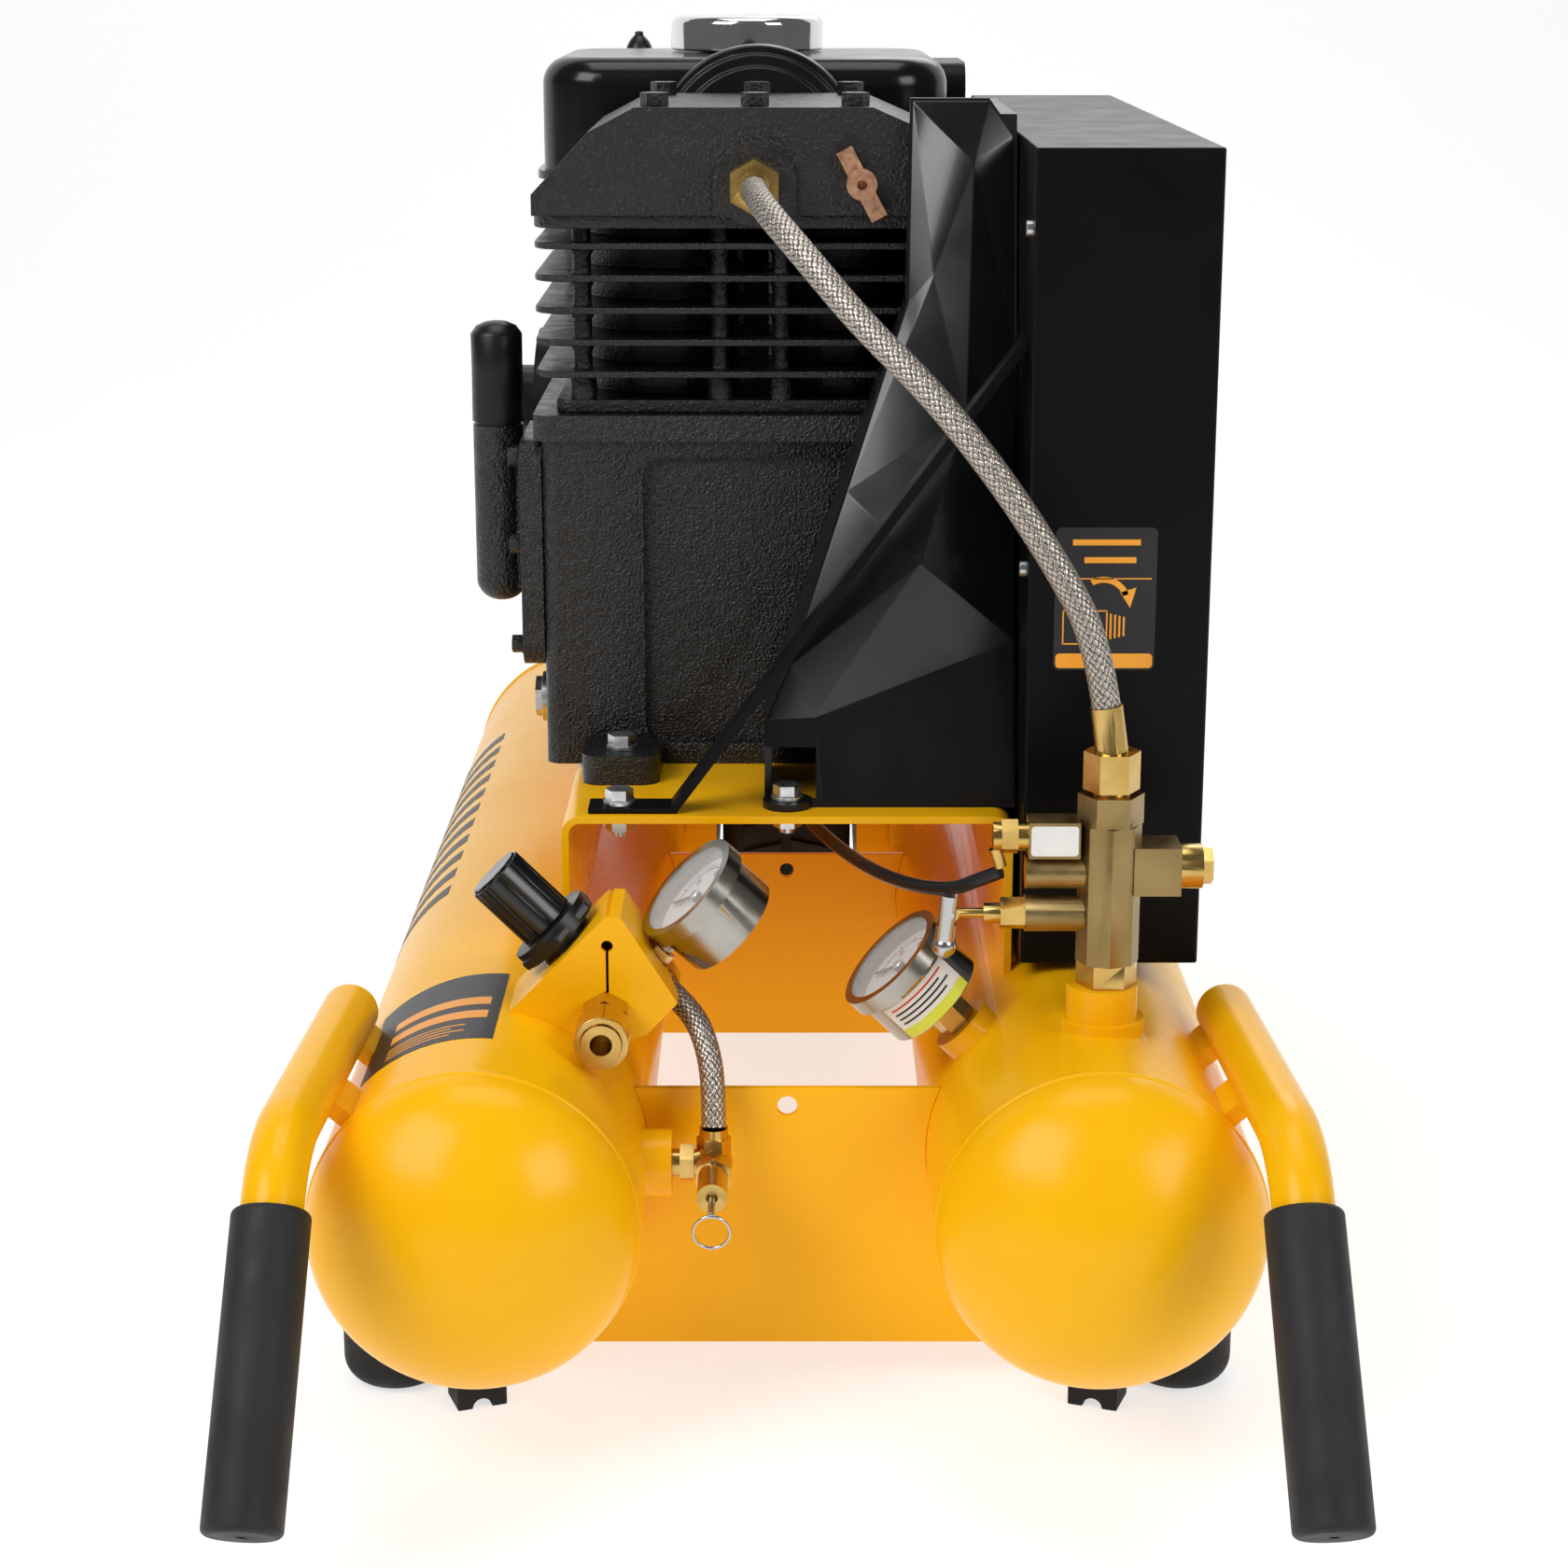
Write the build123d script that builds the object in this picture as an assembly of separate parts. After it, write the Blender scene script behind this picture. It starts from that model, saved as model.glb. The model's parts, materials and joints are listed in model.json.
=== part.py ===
from build123d import *
from math import atan2, cos, pi, radians, sin, sqrt, tan
import os

# Portable twin-tank air compressor with a belt-driven twin-cylinder pump and a small petrol engine.
# Millimetres. +X is the operator's right, +Y points away from the handles and +Z is up.
# The origin is on the ground under the middle of the machine.

# Tanks
TANK_R, TANK_WALL, TANK_X, TANK_Z = 80.0, 3.0, 151.0, 129.5
TANK_NEAR, TANK_FAR, CROWN_R, KNUCKLE_R = -390.0, 509.0, 95.0, 34.0
# Deck
DECK_TOP, DECK_T, DECK_HALF, DECK_NEAR, DECK_FAR = 287.0, 4.0, 118.0, -219.0, 389.0
# Wheel
WHEEL_R, WHEEL_HALF, WHEEL_Y, AXLE_R = 127.5, 45.0, 444.0, 8.0
# Handles: open far end, bend and grip end of the right tube's centre line
TUBE_R, TUBE_WALL, TUBE_BEND, GRIP_R, GRIP_L = 14.5, 2.0, 57.0, 18.25, 145.0
HANDLE = [(225, -261, 195), (232, -452, 197), (237, -558, 58)]
# Pump
PUMP_Y, PUMP_Z, PUMP_X0, PUMP_X1, CASE_HALF = -36.0, 385.0, -133.0, 100.0, 75.0
CASE_TOP, CYLINDER_TOP, HEAD_TOP, BORE_R, THROW, ROD_L = 481.0, 587.0, 643.0, 32.0, 20.0, 150.0
CYLINDERS_X = (-67.0, 33.0)
FINS_Z = (501.0, 518.0, 535.0, 552.0, 569.0)
OUTLET = (-17, 604)
# Drive
ENGINE_X, ENGINE_Y, ENGINE_Z, BELT_X = -25.0, 244.0, 393.0, 145.0
FLYWHEEL_R, PULLEY_R, BELT_DEPTH, BELT_HALF = 145.0, 45.0, 8.0, 4.5
RUN = 0.05          # radial clearance of a running fit
GAP = 0.3           # clearance between faces that move past each other
# Fittings on the near end
VALVE = (157, -321)
GAUGE_R, BEZEL_R, DIAL_R = 28.0, 31.0, 26.5
OUTLET_GAUGE = ((-51.4, -273, 265.3), (-0.70, -0.17, 0.69))
TANK_GAUGE = ((51.6, -274.6, 228.9), (-0.707, -0.09, 0.707))
COUPLER = (-91, 207)
SLANT = Vector(-1, 0, 1).normalized()
# Hose and tube routes
DISCHARGE_ROUTE = [(-17, -163, 604), (-14, -197, 600), (7, -233, 579), (36, -259, 547), (70, -281, 516),
                   (102, -299, 478), (129, -311, 438), (148, -318, 404), (153.5, -320.3, 371)]
REGULATOR_ROUTE = [(-63, -273, 213), (-48, -283, 203), (-40, -296, 187.5), (-37, -308, 170), (-37, -314, 152)]
PILOT_ROUTE = [(104, -321, 288), (93, -316, 282), (81, -306, 274), (62, -282, 269), (44, -250, 267),
               (28, -215, 268), (14, -175, 270), (4, -130, 271), (-9, -84, 272), (-26, -39, 271),
               (-44, 6, 270), (-55, 52, 272), (-58, 98, 275)]
DISCHARGE_R, REGULATOR_R, PILOT_R = 7.0, 6.25, 3.5


# Basic shapes ---------------------------------------------------------------------------------

def block(x, y, z, round_x=0.0, round_y=0.0, round_z=0.0):
    """Box between two values on each axis, with its edges along an axis rounded if asked."""
    solid = Pos(sum(x) / 2, sum(y) / 2, sum(z) / 2) * Box(x[1] - x[0], y[1] - y[0], z[1] - z[0])
    for radius, axis in ((round_x, Axis.X), (round_y, Axis.Y), (round_z, Axis.Z)):
        if radius:
            solid = fillet(solid.edges().filter_by(axis), radius)
    return solid


def facing(start, end):
    """Plane at one point whose normal points to another."""
    return Plane(origin=start, z_dir=Vector(*end) - Vector(*start))


def rod(start, end, radius, bore=0.0):
    """Round bar, or a tube where a bore radius is given."""
    length = (Vector(*end) - Vector(*start)).length
    profile = Circle(radius) - Circle(bore) if bore else Circle(radius)
    return facing(start, end) * extrude(profile, length)


def hexagon(start, end, across_flats, bore=0.0):
    """Hexagonal bar or nut."""
    length = (Vector(*end) - Vector(*start)).length
    profile = RegularPolygon(across_flats / 2, 6, major_radius=False)
    if bore:
        profile = profile - Circle(bore)
    return facing(start, end) * extrude(profile, length)


def plate(points, y0, y1):
    """Flat plate from an outline in X and Z, between two Y values."""
    face = make_face(Polyline(*points, close=True))
    return Plane((0, y1, 0), x_dir=(1, 0, 0), z_dir=(0, -1, 0)) * extrude(face, y1 - y0)


def side_plate(points, x0, x1):
    """Flat plate from an outline in Y and Z, between two X values."""
    face = make_face(Polyline(*points, close=True))
    return Plane((x0, 0, 0), x_dir=(0, 1, 0), z_dir=(1, 0, 0)) * extrude(face, x1 - x0)


def moved(point, direction, distance):
    """Point at a distance along a direction."""
    return tuple(Vector(*point) + Vector(*direction).normalized() * distance)


def group(*shapes):
    """Separate solids in one node."""
    return Compound([solid for shape in shapes for solid in shape.solids()])


def both_sides(shape):
    """The shape and its mirror image on the left."""
    return group(shape, shape.mirror(Plane.YZ))


def tank_space():
    """The room the two tank shells take, to trim what is welded to them."""
    spans = [rod((x, TANK_NEAR, TANK_Z), (x, TANK_FAR, TANK_Z), TANK_R) for x in (-TANK_X, TANK_X)]
    return spans[0] + spans[1]


# Tanks and frame ------------------------------------------------------------------------------

def head_arcs(radius, crown, knuckle, base, way):
    """Crown and knuckle arcs of a tank head; way is -1 at the near end and 1 at the far end."""
    rise = sqrt((crown - knuckle) ** 2 - (radius - knuckle) ** 2)
    lean = atan2(radius - knuckle, rise)

    def on_circle(across, along, size, angle):
        return across + size * sin(angle), along + way * size * cos(angle)

    crown_points = [on_circle(0, base - way * rise, crown, lean * part) for part in (0, 0.5, 1)]
    knuckle_angles = (lean, (lean + pi / 2) / 2, pi / 2)
    knuckle_points = [on_circle(radius - knuckle, base, knuckle, angle) for angle in knuckle_angles]
    return [ThreePointArc(*crown_points), ThreePointArc(*knuckle_points)]


def vessel(inset):
    """Closed round solid along Y with dished ends, smaller all round by an inset."""
    radius, crown, knuckle = TANK_R - inset, CROWN_R - inset, KNUCKLE_R - inset
    near = head_arcs(radius, crown, knuckle, TANK_NEAR, -1)
    far = head_arcs(radius, crown, knuckle, TANK_FAR, 1)
    side = Line((radius, TANK_NEAR), (radius, TANK_FAR))
    axis = Line(near[0] @ 0, far[0] @ 0)
    return revolve(make_face([*near, side, *far, axis]), Axis.Y).rotate(Axis.Y, 150)


def tank(side, ports):
    """Welded tank; each port is (start inside the shell, outer end, radius, bore radius)."""
    place = Pos(side * TANK_X, 0, TANK_Z)
    shell = place * vessel(0)
    for start, end, radius, _ in ports:
        shell = shell + rod(start, end, radius)
    for start, end, _, bore in ports:
        shell = shell - rod(moved(start, Vector(*start) - Vector(*end), 10), end, bore)
    return shell - place * vessel(TANK_WALL)


def shared_ports(side):
    """Drain port under the tank and the port of the crossover pipe."""
    return [((side * TANK_X, -40, 52), (side * TANK_X, -40, 42), 10, 4),
            ((side * 78, 219, 110), (side * 62, 219, 110), 13, 6)]


def tank_left():
    return tank(-1, shared_ports(-1) + [((-78, -314, 133), (-58, -314, 133), 17, 6)])


def tank_right():
    axis_point = (TANK_X, -271, TANK_Z)
    flank = (moved(axis_point, SLANT, 76), moved(axis_point, SLANT, 89), 16, 6)
    top = ((155, -321, 204), (155, -321, 231), 17.5, 6)
    flare = ((155, -321, 204), (155, -321, 214), 21, 6)
    return tank(1, shared_ports(1) + [flank, top, flare])


def crossover_pipe():
    return rod((-61.7, 219, 110), (61.7, 219, 110), 8, 6)


DECK_BOLTS = [(-88, -204, 290.2), (0, -198, 291), (-90, -138, 303), (60, -138, 303), (-90, 66, 303),
              (60, 66, 303), (-85, 185, 297), (55, 185, 297), (-85, 300, 297), (55, 300, 297)]


def deck():
    outer = block((-DECK_HALF, DECK_HALF), (DECK_NEAR, DECK_FAR), (196, DECK_TOP))
    outer = fillet(outer.edges().filter_by(Axis.Y).group_by(Axis.Z)[-1], 10)
    half = DECK_HALF - DECK_T
    inner = block((-half, half), (DECK_NEAR - 1, DECK_FAR + 1), (190, DECK_TOP - DECK_T))
    inner = fillet(inner.edges().filter_by(Axis.Y).group_by(Axis.Z)[-1], 6)
    channel = outer - inner - tank_space()
    for x, y, _ in DECK_BOLTS:
        channel = channel - rod((x, y, 270), (x, y, 290), 4 + GAP)
    return channel


def cross_plates():
    """Near plate with its foot shelves and far plate, both welded between the tanks."""
    near = block((-125, 125), (-288, -284), (22, 163))
    for side in (-1, 1):
        low, high = sorted((side * 121, side * 214))
        near = near + block((low, high), (-325, -252), (44, 48))
    near = near - tank_space() - rod((0, -300, 153), (0, -270, 153), 5.2)
    far = block((-125, 125), (152, 156), (34, 157)) - tank_space() - rod((0, 140, 146), (0, 170, 146), 4.5)
    return group(near, far)


def wheel_brackets():
    """Plates welded to the inner flanks of the tanks that carry the axle ends."""
    outline = [(308, 75), (308, 180), (330, 180), (470, 158), (480, 150), (480, 96), (470, 90), (330, 75)]
    cheek = side_plate(outline, 49, 53)
    for y, low, high in ((308, 75, 180), (476, 96, 150)):
        cheek = cheek + block((49, 74), (y, y + 4), (low, high))
    slot = Pos(61, 310, 150) * Rot(0, 30, 0) * Box(4, 10, 20)
    cheek = cheek - tank_space() - slot - rod((40, WHEEL_Y, WHEEL_R), (60, WHEEL_Y, WHEEL_R), AXLE_R + RUN)
    return both_sides(cheek)


def axle():
    """Axle with a spacer sleeve each side of the wheel hub."""
    centre = (WHEEL_Y, WHEEL_R)
    spacer = rod((40.5, *centre), (48.8, *centre), 12, AXLE_R + RUN)
    return group(rod((-66, *centre), (66, *centre), AXLE_R), spacer, spacer.mirror(Plane.YZ))


def handle_path(points):
    return FilletPolyline(*points, radius=TUBE_BEND)


def handle_tubes():
    """Bent handle tubes with the short weld blocks that join them to the tanks."""
    end = moved(HANDLE[2], Vector(*HANDLE[1]) - Vector(*HANDLE[2]), 6)
    points = [HANDLE[0], HANDLE[1], end]
    path = handle_path(points)
    section = facing(points[0], points[1])
    tube = sweep(section * Circle(TUBE_R), path=path)
    middle = Vector(TANK_X, -281, TANK_Z)
    toward = Vector(225.7, -281, 195.2) - middle
    for shift in (0, -85):
        start = middle + toward.normalized() * 70 + Vector(0, shift, 0)
        weld = Plane(origin=start, x_dir=(0, 1, 0), z_dir=toward) * extrude(Rectangle(34, 8), 22)
        tube = tube + weld
    tube = tube - sweep(section * Circle(TUBE_R - TUBE_WALL), path=path) - tank_space()
    return both_sides(tube)


def handle_grips():
    end = HANDLE[2]
    back = Vector(*HANDLE[1]) - Vector(*end)
    grip = rod(moved(end, back, GRIP_L), end, GRIP_R)
    grip = fillet(grip.edges(), 3.5)
    grip = grip - rod(moved(end, back, 5.5), moved(end, back, GRIP_L + 1), TUBE_R + RUN)
    grip = grip - rod(moved(end, back, -1), moved(end, back, 8), 2.5)
    return both_sides(grip)


def rubber_feet():
    """Round outer feet and arched inner blocks under the shelves."""
    foot = Pos(204, -280, 22) * Cylinder(28, 44)
    foot = fillet(foot.edges().group_by(Axis.Z)[0], 14)
    arch = Pos(0, 0, -22) * Rot(90, 0, 0) * Cylinder(5, 40)
    pad = Pos(160, -309, 22) * Rot(0, 0, -20) * (Box(26, 22, 44) - arch)
    return both_sides(group(foot, pad))


# Wheel ----------------------------------------------------------------------------------------

def on_axle(x0, x1, radius, bore=0.0):
    return rod((x0, WHEEL_Y, WHEEL_R), (x1, WHEEL_Y, WHEEL_R), radius, bore)


def wheel_rim():
    rim = on_axle(-40, 40, 22, 17.5) + on_axle(-2, 2, 57, 17.5) + on_axle(-38, 38, 59, 55)
    rim = rim + on_axle(-40, -36.5, 66, 55) + on_axle(36.5, 40, 66, 55)
    for step in range(5):
        hole = Pos(0, WHEEL_Y, WHEEL_R) * Rot(72 * step, 0, 0) * Pos(0, 0, 39) * Rot(0, 90, 0) * Cylinder(8, 10)
        rim = rim - hole
    return rim


def wheel_tyre():
    """Hollow tyre seated on the rim barrel between its flanges."""
    middle = (59.05 + WHEEL_R) / 2
    outer = Pos(0, middle) * Rectangle(2 * WHEEL_HALF, WHEEL_R - 59.05)
    outer = fillet(outer.vertices().group_by(Axis.Y)[-1], 26)
    outer = fillet(outer.vertices().group_by(Axis.Y)[0], 12)
    inside = Pos(0, middle) * RectangleRounded(2 * WHEEL_HALF - 16, WHEEL_R - 59.05 - 18, 20)
    bead = Pos(0, 62.5) * Rectangle(3.8, 8)
    ring = revolve(outer - inside, Axis.X)
    for x in (-38.2, 38.2):
        ring = ring - revolve(Pos(x, 0) * bead, Axis.X)
    flank = revolve(Pos(0, 62.5) * (Rectangle(100, 8) - Rectangle(72, 8)), Axis.X)
    return Pos(0, WHEEL_Y, WHEEL_R) * (ring - flank)


def wheel_bearings():
    return both_sides(on_axle(30, 40, 17.45, AXLE_R + RUN))


# Pump -----------------------------------------------------------------------------------------

def on_crank(x0, x1, radius, bore=0.0, offset=0.0):
    centre = (PUMP_Y, PUMP_Z + offset)
    return rod((x0, *centre), (x1, *centre), radius, bore)


def pump_crankcase():
    """Hollow casting with a top flange, a recessed front panel and four foot lugs."""
    near, far = PUMP_Y - CASE_HALF, PUMP_Y + CASE_HALF
    case = block((PUMP_X0, PUMP_X1), (near, far), (DECK_TOP, CASE_TOP), round_z=8)
    case = case + block((PUMP_X0 - 4, PUMP_X1 + 2), (near - 4, far + 4), (467, CASE_TOP), round_z=8)
    for x in (-90, 60):
        for y0, y1 in ((near - 46, near + 2), (far - 2, far + 46)):
            case = case + block((x - 21, x + 21), (y0, y1), (DECK_TOP, 303), round_z=10)
    case = case - block((-121, 88), (near + 12, far - 12), (299, CASE_TOP + 1), round_z=6)
    case = case - block((-78, 110), (near - 3, near + 5), (299, 458), round_y=12)
    case = case - on_crank(PUMP_X0 - 1, -120, 26 + RUN) - on_crank(87, PUMP_X1 + 3, 26 + RUN)
    for x, y, top in DECK_BOLTS[2:6]:
        case = case - rod((x, y, 280), (x, y, top + 1), 4 + GAP)
    return case


def pump_end_cover():
    """Crank end cover with the oil filler neck cast on."""
    cover = block((-145.4, PUMP_X0 - 0.1), (-106, -10), (340, 465), round_x=14)
    neck = rod((-160, -61, 370), (-160, -61, 469), 14)
    neck = fillet(neck.edges().group_by(Axis.Z)[0], 12)
    neck = neck + block((-160, -144), (-71, -51), (378, 458))
    return cover + neck - rod((-160, -61, 452), (-160, -61, 470), 10)


def oil_breather_cap():
    dome = rod((-160, -61, 469.2), (-160, -61, 526), 14.25)
    dome = fillet(dome.edges().group_by(Axis.Z)[-1], 9)
    return dome + rod((-160, -61, 455), (-160, -61, 470), 9.7)


def oil_sight_glass():
    return rod((PUMP_X0, -75, 317), (-137, -75, 317), 14) + hexagon((-137, -75, 317), (-141, -75, 317), 20)


def fin_outline(z, thickness):
    return block((-135, 101), (PUMP_Y - 78, PUMP_Y + 78), (z, z + thickness), round_z=16)


def pump_cylinders():
    """Finned twin barrels on one base flange."""
    body = block((-125, 92), (PUMP_Y - 68, PUMP_Y + 68), (CASE_TOP, 488), round_z=10)
    body = body + fin_outline(CYLINDER_TOP - 7, 7)
    for z in FINS_Z:
        body = body + fin_outline(z, 3.6)
    for x in CYLINDERS_X:
        body = body + rod((x, PUMP_Y, CASE_TOP), (x, PUMP_Y, CYLINDER_TOP), 43)
    for x in CYLINDERS_X:
        body = body - rod((x, PUMP_Y, CASE_TOP - 1), (x, PUMP_Y, CYLINDER_TOP + 1), BORE_R)
    return body


def pump_head():
    """Cast head with sloping ends, an arched outlet boss and a hollow over the bores."""
    outline = [(-135, CYLINDER_TOP), (-135, 598), (-105, 630), (-80, HEAD_TOP), (45, HEAD_TOP), (75, 630),
               (100, 600), (100, CYLINDER_TOP)]
    near = PUMP_Y - 82
    head = plate(outline, near, PUMP_Y + 82)
    x, z = OUTLET
    head = head + rod((x, near - 4, z), (x, near + 2, z), 22)
    head = head + block((x - 22, x + 22), (near - 4, near + 2), (CYLINDER_TOP, z))
    for low, high in ((-99, -22), (-12, 65)):
        head = head - block((low, high), (PUMP_Y - 60, PUMP_Y + 60), (CYLINDER_TOP - 1, 620))
    return head - rod((x, near - 5, z), (x, near + 30, z), 7)


def pistons_and_rods():
    """Pistons on their rods, cut short above the crank's sweep."""
    pieces = []
    for x, offset in zip(CYLINDERS_X, (THROW, -THROW)):
        pin = PUMP_Z + offset + ROD_L
        crown = rod((x, PUMP_Y, pin - 18), (x, PUMP_Y, pin + 30), BORE_R - RUN)
        crown = crown - rod((x, PUMP_Y, pin - 19), (x, PUMP_Y, pin + 22), BORE_R - 6)
        pieces.append(crown + block((x - 8, x + 8), (PUMP_Y - 13, PUMP_Y + 13), (424, pin + 24)))
    return group(*pieces)


def pump_crankshaft():
    """Two-throw crankshaft, with its belt end standing out to the flywheel."""
    shaft = on_crank(-130, -92, 12.5) + on_crank(-42, 8, 12.5) + on_crank(58, 176, 12.5)
    for start, offset in ((-92, THROW), (8, -THROW)):
        shaft = shaft + on_crank(start, start + 10, 34) + on_crank(start + 40, start + 50, 34)
        shaft = shaft + on_crank(start + 5, start + 45, 12, offset=offset)
    return shaft


def pump_bearings():
    return group(on_crank(PUMP_X0 + 0.5, -121, 26, 12.5 + RUN), on_crank(88, PUMP_X1, 26, 12.5 + RUN))


def belt_groove(centre, radius):
    """Ring cut from a pulley's edge for the belt."""
    floor = radius - BELT_DEPTH - 2
    x0, x1 = BELT_X - BELT_HALF - 0.8, BELT_X + BELT_HALF + 0.8
    return rod((x0, *centre), (x1, *centre), radius + 5, floor)


def pump_flywheel():
    """Fan flywheel: grooved rim, hub and six slanted blades as spokes."""
    wheel = on_crank(130, 172, FLYWHEEL_R, 118) + on_crank(130, 174, 27, 12.5)
    for step in range(6):
        blade = Rot(60 * step, 0, 0) * Pos(0, 0, 72) * Rot(0, 0, 28) * Box(36, 7, 100)
        wheel = wheel + Pos(151, PUMP_Y, PUMP_Z) * blade
    return wheel - belt_groove((PUMP_Y, PUMP_Z), FLYWHEEL_R)


def intake_filter():
    """Stepped round filter canister on a short neck behind the head."""
    x, z = -17, 609
    steps = [(62, 66, 48), (66, 71, 55), (71, 104, 60)]
    canister = rod((x, 46.1, z), (x, 62.5, z), 14)
    for y0, y1, radius in steps:
        canister = canister + rod((x, y0, z), (x, y1, z), radius)
    return canister


def head_wing_valve():
    """Winged thumb screw on the front of the head."""
    y0, y1 = PUMP_Y - 94, PUMP_Y - 82 - GAP
    hub = rod((39, y0, 604), (39, y1, 604), 8)
    wings = Pos(39, y0 + 6, 604) * Rot(0, 62, 0) * Box(40, 5, 9)
    return hub + wings - rod((39, y0 - 1, 604), (39, y0 + 8, 604), 2.6)


# Drive ----------------------------------------------------------------------------------------

def belt_loop(inset):
    """Area inside the belt's outer surface, drawn in by an inset."""
    wheel = Pos(PUMP_Y, PUMP_Z) * Circle(FLYWHEEL_R - inset)
    pulley = Pos(ENGINE_Y, ENGINE_Z) * Circle(PULLEY_R - inset)
    return make_hull(wheel.edges() + pulley.edges())


def drive_belt():
    ring = Sketch() + belt_loop(0.5) - belt_loop(0.5 + BELT_DEPTH)
    side = Plane((BELT_X - BELT_HALF, 0, 0), x_dir=(0, 1, 0), z_dir=(1, 0, 0))
    return side * extrude(ring, 2 * BELT_HALF)


def on_engine(x0, x1, radius, bore=0.0):
    return rod((x0, ENGINE_Y, ENGINE_Z), (x1, ENGINE_Y, ENGINE_Z), radius, bore)


def engine_pulley():
    return on_engine(131, 159, PULLEY_R, 9.5) - belt_groove((ENGINE_Y, ENGINE_Z), PULLEY_R)


def engine_crankshaft():
    """Shaft with its counterweights and the fan flywheel in the starter housing."""
    shaft = on_engine(-140, 162, 9.5) + on_engine(-45, -33, 42) + on_engine(-17, -5, 42)
    return shaft + on_engine(-138, -112, 78)


def belt_guard():
    """Closed sheet box round the belt, open only where the two shafts and the fan air enter."""
    outer = block((121, 213), (-241, 308), (214, 630), round_z=2)
    inner = block((123, 211), (-239, 306), (216, 628))
    return outer - inner - on_crank(120, 124, 48) - on_engine(120, 124, 30)


def shroud_outline(inset):
    """Front outline of the fan shroud, drawn in by its wall."""
    left = inset * 1.2
    return [(-12 + left, 280 if inset else DECK_TOP), (-12 + left, 330 - inset * 0.3), (62 + left, 545),
            (64 + left, 648 - inset), (105 - inset * 0.5, 648 - inset), (118 - inset, 630 - inset * 0.5),
            (119.5 - inset, 280 if inset else DECK_TOP)]


def shroud_space(inset):
    """Sloping front hood with the air duct beside the pump, drawn in by the wall."""
    back = PUMP_Y - 82 - GAP if not inset else PUMP_Y - 70
    hood = plate(shroud_outline(inset), -230, back)
    slope = [(-260, 200), (-201 + inset, DECK_TOP), (-122 + inset, 655), (-122 + inset, 700), (-260, 700)]
    hood = hood - side_plate(slope, -60, 160)
    floor = 280 if inset else DECK_TOP
    duct = block((103.5 + inset, 119.5 - inset), (-150 if not inset else -140, 46 - inset), (floor, 640 - inset))
    duct = duct - side_plate(slope, -60, 160)
    return hood + duct


def air_shroud():
    """Moulded hood that leads the fan's air over the cylinders."""
    shell = shroud_space(0) - shroud_space(3)
    shell = shell - block((100, 110), (-100, 30), (492, 580)) - on_crank(100, 125, 40)
    shell = shell - block((-12.5, 15), (-240, -184), (291, 318))
    lobe = rod((0, -198, DECK_TOP), (0, -198, 291), 13)
    return shell + lobe - rod((0, -198, 280), (0, -198, 295), 4 + GAP)


def guard_strut():
    """Bent flat bar from the deck to the guard's edge."""
    y0, y1 = -214, -194
    outline = [(-104, DECK_TOP), (-104, 290), (-61, 290), (118, 534), (120.8, 534), (120.8, 529),
               (-58, 287)]
    return plate(outline, y0, y1) - rod((-88, -204, 280), (-88, -204, 295), 4 + GAP)


# Engine ---------------------------------------------------------------------------------------

def engine_block():
    """Crankcase, base and slanted finned cylinder with its valve cover."""
    case = block((-92, 68), (172, 318), (297, 472), round_z=10)
    case = case + block((-100, 75), (172, 318), (DECK_TOP, 298), round_z=8)
    case = case + block((-91.5, 62), (180, 300), (465, 587), round_z=8)
    tilt = Pos(0, ENGINE_Y, ENGINE_Z) * Rot(25, 0, 0)
    barrel = Pos(ENGINE_X, 115, 0) * Box(84, 150, 86)
    for step in range(8):
        barrel = barrel + Pos(ENGINE_X, 88 + 11 * step, 0) * Box(100, 4, 108)
    barrel = barrel + Pos(ENGINE_X, 186, 0) * Box(88, 14, 78)
    case = case + tilt * barrel
    case = case + block((-70, -60), (318, 350), (470, 508)) + block((-128, -60), (320, 348), (504, 508))
    case = case - on_engine(-80, 56, 46) - on_engine(-93, 69, 9.5 + RUN)
    case = case - block((-80, 56), (182, 308), (309, 375)) - block((-80, 52), (190, 290), (440, 577))
    for x, y, top in DECK_BOLTS[6:]:
        pocket = block((x - 9, x + 9), (y - 9, y + 9), (top - 0.5, top + 14))
        case = case - rod((x, y, 280), (x, y, top), 4 + GAP) - pocket
    return case


def recoil_housing():
    """Fan cowl and round starter cover, hollow round the engine's fan flywheel."""
    cowl = on_engine(-160, -92.2, 92) + on_engine(-175, -159, 68)
    cowl = cowl - on_engine(-156, -92, 88)
    for step in range(12):
        slot = Pos(0, ENGINE_Y, ENGINE_Z) * Rot(30 * step, 0, 0) * Pos(-168, 0, 48) * Box(20, 6, 22)
        cowl = cowl - slot
    return cowl


def recoil_handle():
    return rod((-187, 215, 440), (-187, 275, 440), 9) + rod((-187, 245, 440), (-175.1, 245, 440), 5)


def fuel_tank():
    """Hollow pressed tank with a seam lip and a filler neck."""
    body = block((-148, 97), (119, 320), (590, 660), round_z=38)
    body = fillet(body.edges().group_by(Axis.Z)[-1], 16)
    body = body + block((-152, 101), (115, 324), (588, 593), round_z=41)
    inside = block((-145, 94), (122, 317), (593, 656), round_z=35)
    body = body - fillet(inside.edges().group_by(Axis.Z)[-1], 13)
    body = body + rod((ENGINE_X, 245, 655), (ENGINE_X, 245, 672), 30)
    return body - rod((ENGINE_X, 245, 650), (ENGINE_X, 245, 673), 26)


def fuel_cap():
    cap = rod((ENGINE_X, 245, 661), (ENGINE_X, 245, 682), 48)
    cap = fillet(cap.edges().group_by(Axis.Z)[-1], 5)
    return cap - rod((ENGINE_X, 245, 660), (ENGINE_X, 245, 674), 31)


def air_cleaner():
    return block((-150, -50), (335, 445), (547, 650), round_z=16)


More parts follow.
